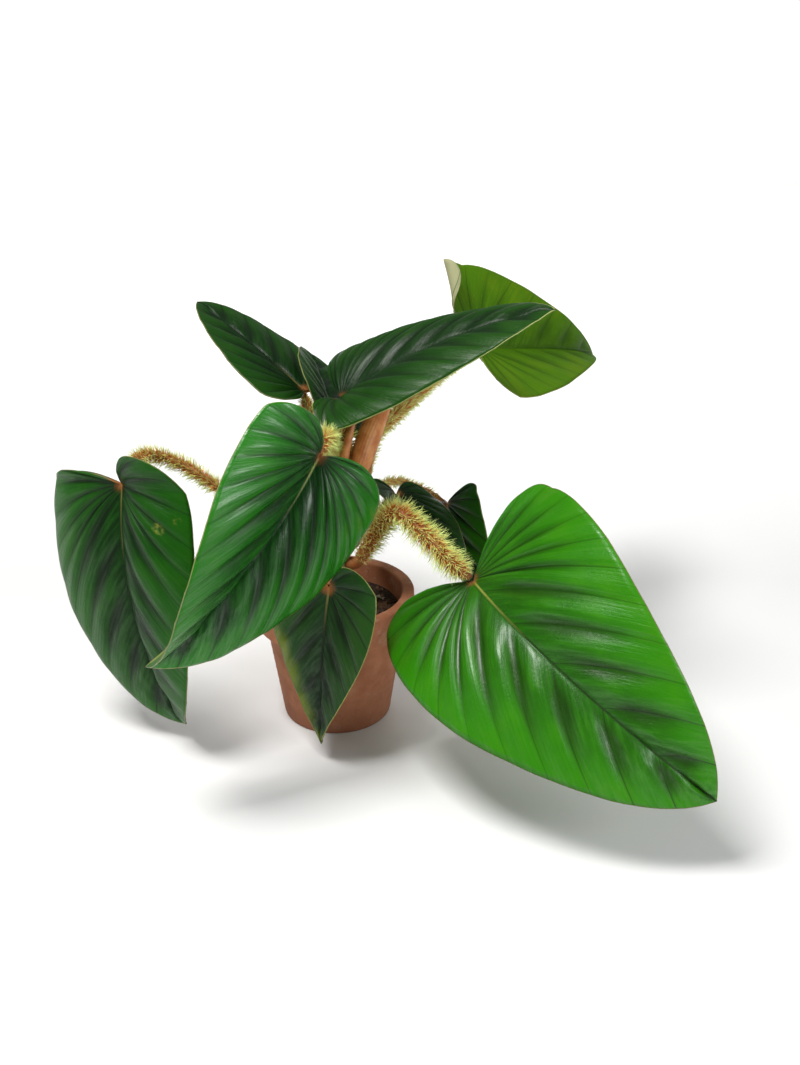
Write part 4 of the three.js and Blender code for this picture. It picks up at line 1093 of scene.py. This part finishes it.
# %% Bark
bark = Finish("bark", (0.075, 0.06, 0.022))
fibres, blotches = bark.noise(700, 4), bark.noise(90, 4)
bark.over(blotches.ramp(0.35, 0.65), (0.15, 0.11, 0.045))
bark.over(bark.attribute("height").ramp(130, 215) * 0.8, (0.075, 0.12, 0.025))
bark.over(bark.attribute("scar").ramp(0.2, 0.9) * 0.8, (0.26, 0.19, 0.10))
bark.over(fibres.ramp(0.55, 0.8) * 0.5, (0.3, 0.25, 0.14))
BARK = bark.done(Roughness=fibres * 0.3 + 0.5, Normal=bark.bump(fibres, 0.0008, 0.8))
settle(stem, BARK, "stem", "stem")
print("bark is on the", stem.name)

# %% [markdown]
# ## Sheaths
#
# The sheaths are the papery leaves that wrapped a bud. Cloth would be overkill for such a stiff little
# trough, so they are rolled from a lance-shaped strip, with fine lengthwise pleats.

# %% Sheaths
# Route, width, how far the strip wraps round, and the way it opens.
SHEATHS = {
    "sheath_open": (((17, -13, 216), (23, -10, 232), (31, 2, 252), (41, 21, 270), (51, 38, 282)),
                    21, 150, (-0.3, 1, -0.2)),
    "sheath_bud": (((5, -13.5, 214), (8, -14, 232), (12, -9, 250), (19, 0, 270)), 8, 200, (0.6, 1, 0)),
}
SHEATH_STEPS, SHEATH_SIDES = 90, 36
SHEATH_THICKNESS = 0.7
PLEAT_DEPTH, PLEAT_COUNT = 0.14, 26


def sheath_mesh(name):
    route, width, wrap, opening = SHEATHS[name]
    path = smooth_curve(np.array(route, float), SHEATH_STEPS + 1, GENTLE)
    ahead = unit(np.gradient(path, axis=0))
    open_way = np.array(opening) / np.linalg.norm(opening)
    front = unit(open_way - (ahead @ open_way)[:, None] * ahead)
    aside = np.cross(ahead, front)
    share = np.linspace(0, 1, SHEATH_STEPS + 1)
    radius = width / 2 * np.sin(np.pi * (0.2 + 0.72 * share)) ** 0.8
    turn = np.radians(wrap) * (np.linspace(0, 1, SHEATH_SIDES + 1) - 0.5)
    pleats = PLEAT_DEPTH * np.cos(turn * PLEAT_COUNT)[None] * np.sin(np.pi * share)[:, None] ** 0.5
    sheets = []
    for inset in (0.0, SHEATH_THICKNESS):
        reach = (radius[:, None] - inset + pleats)[..., None]
        forward = radius[:, None, None] / 2 - reach * np.cos(turn)[:, None]
        sheets.append((path[:, None] + front[:, None] * forward
                       + aside[:, None] * reach * np.sin(turn)[:, None]).reshape(-1, 3))
    row = SHEATH_SIDES + 1
    faces = [[a, a + row, a + row + 1, a + 1]
             for i in range(SHEATH_STEPS) for a in range(i * row, i * row + SHEATH_SIDES)]
    from_edge = 1 - np.abs(np.linspace(-1, 1, row))
    notes = {"edge": np.tile(from_edge, 2 * (SHEATH_STEPS + 1)),
             "toward_tip": np.tile(np.repeat(share, row), 2)}
    return new_piece(f"{name}_fine", np.vstack(sheets), thick_sheet(faces, len(sheets[0])), notes)


paper = Finish("sheath paper", (0.50, 0.15, 0.035))
fibre, stain = paper.noise(500, 4), paper.noise(110, 4)
paper.over(stain.ramp(0.35, 0.65), (0.68, 0.27, 0.08))
paper.over(paper.attribute("toward_tip").ramp(0.6, 1.0) * 0.6, (0.36, 0.13, 0.04))
paper.over(paper.attribute("edge").ramp(0.0, 0.16, 1, 0) * 0.6, (0.36, 0.20, 0.07))
PAPER = paper.done(Roughness=fibre * 0.25 + 0.35, Normal=paper.bump(fibre, 0.0003, 0.7))
for name in SHEATHS:
    settle(sheath_mesh(name), PAPER, "sheath", name)
print("sheaths:", len(SHEATHS))

# %% [markdown]
# ## Pot
#
# The pot is turned clay, so its wall is one profile spun round an axis, and the drain holes are drilled
# after that. Its profile could be spun straight, but a real thrown or pressed pot has fine rings and is
# never perfectly even, so the wall gets both. The finish has what old clay has: pale lime blooms near
# the rim and the foot, darker damp clay lower down, and sandy grain.

# %% Turned pieces and rounded corners
POT_SIDES = 160
EDGE = 2
PROFILE_STEP = 2.5


def ring(turn, reach, height):
    """A level ring of points."""
    return np.stack([reach * np.cos(turn), reach * np.sin(turn), height + 0 * turn], axis=1)


def turned_faces(rings, sides):
    """Faces of a turned piece whose point 0 closes it below, point 1 above, and rings come after."""
    faces = []
    last = 2 + (rings - 1) * sides
    for k in range(sides):
        n = (k + 1) % sides
        faces.append((0, 2 + n, 2 + k))
        faces += [(i + k, i + n, i + sides + n, i + sides + k) for i in range(2, last, sides)]
        faces.append((1, last + k, last + n))
    return faces


def rounded(profile):
    """A profile with its corners rounded and its long lines cut into short ones."""
    profile = np.array(profile, float)
    line = [profile[0]]
    for before, point, after in zip(profile, profile[1:], profile[2:]):
        start = point + (before - point) * min(0.5, EDGE / np.linalg.norm(before - point))
        end = point + (after - point) * min(0.5, EDGE / np.linalg.norm(after - point))
        line += [start * (1 - t) ** 2 + 2 * point * t * (1 - t) + end * t * t for t in np.linspace(0, 1, 6)]
    line.append(profile[-1])
    dense = []
    for start, end in zip(line, line[1:]):
        pieces = max(1, int(np.linalg.norm(end - start) / PROFILE_STEP))
        dense += [start + (end - start) * k / pieces for k in range(pieces)]
    return np.array(dense + [line[-1]])


print("faces of a turned ring:", len(turned_faces(1, POT_SIDES)))

# %% Pot
POT_HEIGHT, POT_FLOOR, POT_WALL, BAND_FOOT = 115, 8, 6, 87
FOOT_RADIUS, SHOULDER_RADIUS, BAND_RADIUS, MOUTH_RADIUS = 46, 63, 67, 57
DRAIN_HOLES, DRAIN_RADIUS, DRAIN_PLACE = 3, 5.0, 24


def outer_radius(z):
    return FOOT_RADIUS + (SHOULDER_RADIUS - FOOT_RADIUS) * z / POT_HEIGHT


profile = rounded([
    (0, 0), (FOOT_RADIUS, 0), (outer_radius(BAND_FOOT), BAND_FOOT), (BAND_RADIUS, BAND_FOOT + 1.5),
    (BAND_RADIUS, POT_HEIGHT), (MOUTH_RADIUS, POT_HEIGHT), (outer_radius(POT_FLOOR) - POT_WALL, POT_FLOOR),
    (0, POT_FLOOR),
])[1:-1]
turn = around(POT_SIDES)
throwing = 0.12 * np.sin(profile[:, 1] * 1.7) + 0.08 * np.sin(profile[:, 1] * 4.1)
wobble = 0.15 * np.sin(2 * turn + 1) + 0.1 * np.sin(3 * turn)
in_wall = (profile[:, 0] > 30) & (profile[:, 1] > 3)
rings = [ring(turn, r + wall * (thrown + wobble), z)
         for (r, z), wall, thrown in zip(profile, in_wall, throwing)]
points = np.vstack([[(0, 0, 0), (0, 0, POT_FLOOR)]] + rings)
pot = new_piece("pot_fine", points, turned_faces(len(rings), POT_SIDES))
for index in range(DRAIN_HOLES):
    bearing = 2 * math.pi * (index + 0.5) / DRAIN_HOLES
    x, y = DRAIN_PLACE * math.cos(bearing), DRAIN_PLACE * math.sin(bearing)
    drill_path = np.array([(x, y, z) for z in (-5.0, 3.0, 12.0)])
    drill_points, drill_faces, _ = tube(drill_path, np.full(3, DRAIN_RADIUS), 24)
    drill = new_piece("drill", drill_points, drill_faces)
    cut = pot.modifiers.new("drain hole", "BOOLEAN")
    cut.object, cut.operation, cut.solver = drill, "DIFFERENCE", "EXACT"
    shown = pot.evaluated_get(bpy.context.evaluated_depsgraph_get())
    drilled = bpy.data.meshes.new_from_object(shown)
    pot.modifiers.clear()
    pot.data = drilled
    bpy.data.objects.remove(drill)
print("pot faces:", len(pot.data.polygons))

# %% Clay
clay = Finish("clay", (0.36, 0.125, 0.055))
where = clay.add("ShaderNodeTexCoord", output=3)
level = clay.add("ShaderNodeSeparateXYZ", {}, {0: where}, output=2)
sand, cloud, speck = clay.noise(1500, 4), clay.noise(32, 5, roughness=0.6), clay.noise(420, 2)
clay.over(cloud.ramp(0.3, 0.7), (0.50, 0.20, 0.095))
damp = (level + cloud * 0.03).ramp(0.02, 0.075, 0.5, 0)
clay.over(damp, (0.22, 0.075, 0.035))
lime = clay.noise(70, 6, roughness=0.7).ramp(0.52, 0.72) * level.ramp(0.06, 0.115, 0.15, 0.75)
clay.over(lime * 0.6, (0.62, 0.50, 0.40))
clay.over(speck.ramp(0.66, 0.74) * 0.5, (0.14, 0.055, 0.03))
CLAY = clay.done(Roughness=sand * 0.15 + 0.72 + lime * 0.08,
                 Normal=clay.bump(sand * 0.6 + speck * 0.4, 0.0005, 0.7))
settle(pot, CLAY, "clay", "pot")
print("clay is on the", pot.name)

# %% [markdown]
# ## Mix
#
# Aroids grow in a chunky mix. Its body is turned like the pot, with a lumpy top, and bark and clay chips
# are scattered over it by Geometry Nodes. A few hundred chips by hand would look no better.

# %% The body of the mix
SOIL_LEVEL, SOIL_FOOT = 98, POT_FLOOR + SEAT_GAP
SOIL_SIDES, SOIL_RINGS = 120, 40
STEM_ROOM, WALL_ROOM = 16, 4
soil_rim, soil_foot = (outer_radius(z) - POT_WALL - SEAT_GAP for z in (SOIL_LEVEL, SOIL_FOOT))
random = np.random.default_rng(SEED)
turn = around(SOIL_SIDES)
waves = [(random.uniform(0.05, 0.5, 2), random.uniform(0, ANY_PHASE)) for _ in range(14)]


def lumps(x, y):
    return sum(np.sin(x * k[0] + y * k[1] + phase) for k, phase in waves) * 0.3 + 0.6


rings = [ring(turn, soil_foot, SOIL_FOOT)]
for reach in soil_rim * (1 - np.arange(SOIL_RINGS) / SOIL_RINGS):
    inner = np.clip((soil_rim - reach) / 3, 0, 1)
    rings.append(ring(turn, reach, SOIL_LEVEL + inner * lumps(reach * np.cos(turn), reach * np.sin(turn))))
points = np.vstack([[(0, 0, SOIL_FOOT), (0, 0, SOIL_LEVEL)]] + rings)
from_stem = np.hypot(points[:, 0], points[:, 1])
room = (points[:, 2] > SOIL_LEVEL - 1) & (from_stem > STEM_ROOM) & (from_stem < soil_rim - WALL_ROOM)
soil = new_piece("mix_fine", points, turned_faces(len(rings), SOIL_SIDES), {"room": room})
print("mix faces:", len(soil.data.polygons))

# %% Mix and chip finishes
earth = Finish("mix", (0.022, 0.013, 0.008))
crumbs = earth.noise(600, 5, roughness=0.7)
earth.over(crumbs.ramp(0.35, 0.7), (0.085, 0.05, 0.028))
EARTH = earth.done(Roughness=0.85 + crumbs * 0.1, Normal=earth.bump(crumbs, 0.002))
chip = Finish("chips", (0.06, 0.03, 0.016))
luck, grit = chip.attribute("luck"), chip.noise(700, 4)
chip.over(luck.ramp(0.0, 0.6), (0.17, 0.085, 0.04))
chip.over(luck.ramp(0.82, 0.86), (0.55, 0.52, 0.46))
chip.over(grit.ramp(0.4, 0.75) * 0.5, (0.045, 0.024, 0.013))
CHIP = chip.done(Roughness=0.75 + grit * 0.2, Normal=chip.bump(grit, 0.0008))
print("mix finishes:", EARTH.name, "and", CHIP.name)

# %% Scattering the chips
CHIP_GAP = 0.0032
TILT = 0.5
chips = Tree("chips", Size=0.0042, Density=45000.0, Seed=SEED)
size = chips.size
pebble = chips.add("GeometryNodeMeshIcoSphere", inputs={"Radius": 1.0, "Subdivisions": 2})
position = chips.add("GeometryNodeInputPosition")
angular = chips.add("ShaderNodeTexVoronoi", {"feature": "F1"}, {"Vector": position, "Scale": 0.9})
shaped = chips.moved(pebble, chips.scaled(position, chips.maths("ADD", angular, 0.35)))
scatter = chips.add("GeometryNodeDistributePointsOnFaces", {"distribute_method": "POISSON"}, {
    "Mesh": size["Geometry"], "Distance Min": CHIP_GAP, "Density Max": size["Density"],
    "Seed": size["Seed"], "Selection": chips.named("room")})
length = chips.maths("MULTIPLY", size["Size"], chips.random(0.5, 1.15, 2))
flat = chips.maths("MULTIPLY", length, chips.random(0.3, 0.6, 3))
broad = chips.maths("MULTIPLY", length, chips.random(0.5, 0.9, 4))
lie = chips.random((-TILT, -TILT, 0.0), (TILT, TILT, ANY_PHASE), 5, "FLOAT_VECTOR")
chips.copy_onto_points(CHIP, 6, Points=scatter, Instance=shaped, Rotation=lie,
                       Scale=chips.vector(length, broad, flat))
layer = chips.grow_on(soil, "mix_chips")
settle(layer, CHIP, "mix")
settle(soil, EARTH, "mix", "soil")
print("chip faces:", len(layer.data.polygons))

# %% [markdown]
# ## The floor
#
# The plant is shown on a plain, pale floor, which isn't part of it. A flat plane would show an edge
# where it ends, so the floor sweeps up behind the plant in one bend, as a paper roll does in a studio.
# The bend and the wall above it are a piece of their own that reflections leave out. A leaf seen at a
# low angle would mirror that white wall, and its dark green would turn grey.

# %% Floor
FLOOR_BEND, FLOOR_BACK, FLOOR_SIDE, FLOOR_FRONT, FLOOR_TOP = 900, 2600, 4000, -4000, 4500
bend = np.radians(np.linspace(0, 90, 25))
sweep = np.stack([FLOOR_BACK + FLOOR_BEND * np.sin(bend), FLOOR_BEND * (1 - np.cos(bend))], axis=1)
lines = {"floor": np.vstack([(FLOOR_FRONT, 0), sweep[:1]]),
         "wall": np.vstack([sweep, (FLOOR_BACK + FLOOR_BEND, FLOOR_TOP)])}
plain = Finish("pale floor", (0.84, 0.84, 0.84))
plain.over(plain.noise(3, 3), (0.88, 0.88, 0.88))
PALE = plain.done(Roughness=0.8)
for name, line in lines.items():
    points = [(side, y, z) for side in (-FLOOR_SIDE, FLOOR_SIDE) for y, z in line]
    faces = [(i, len(line) + i, len(line) + i + 1, i + 1) for i in range(len(line) - 1)]
    sheet = new_piece(name, points, faces)
    sheet.data.materials.append(PALE)
    sheet.visible_glossy = name == "floor"
print("floor is laid")
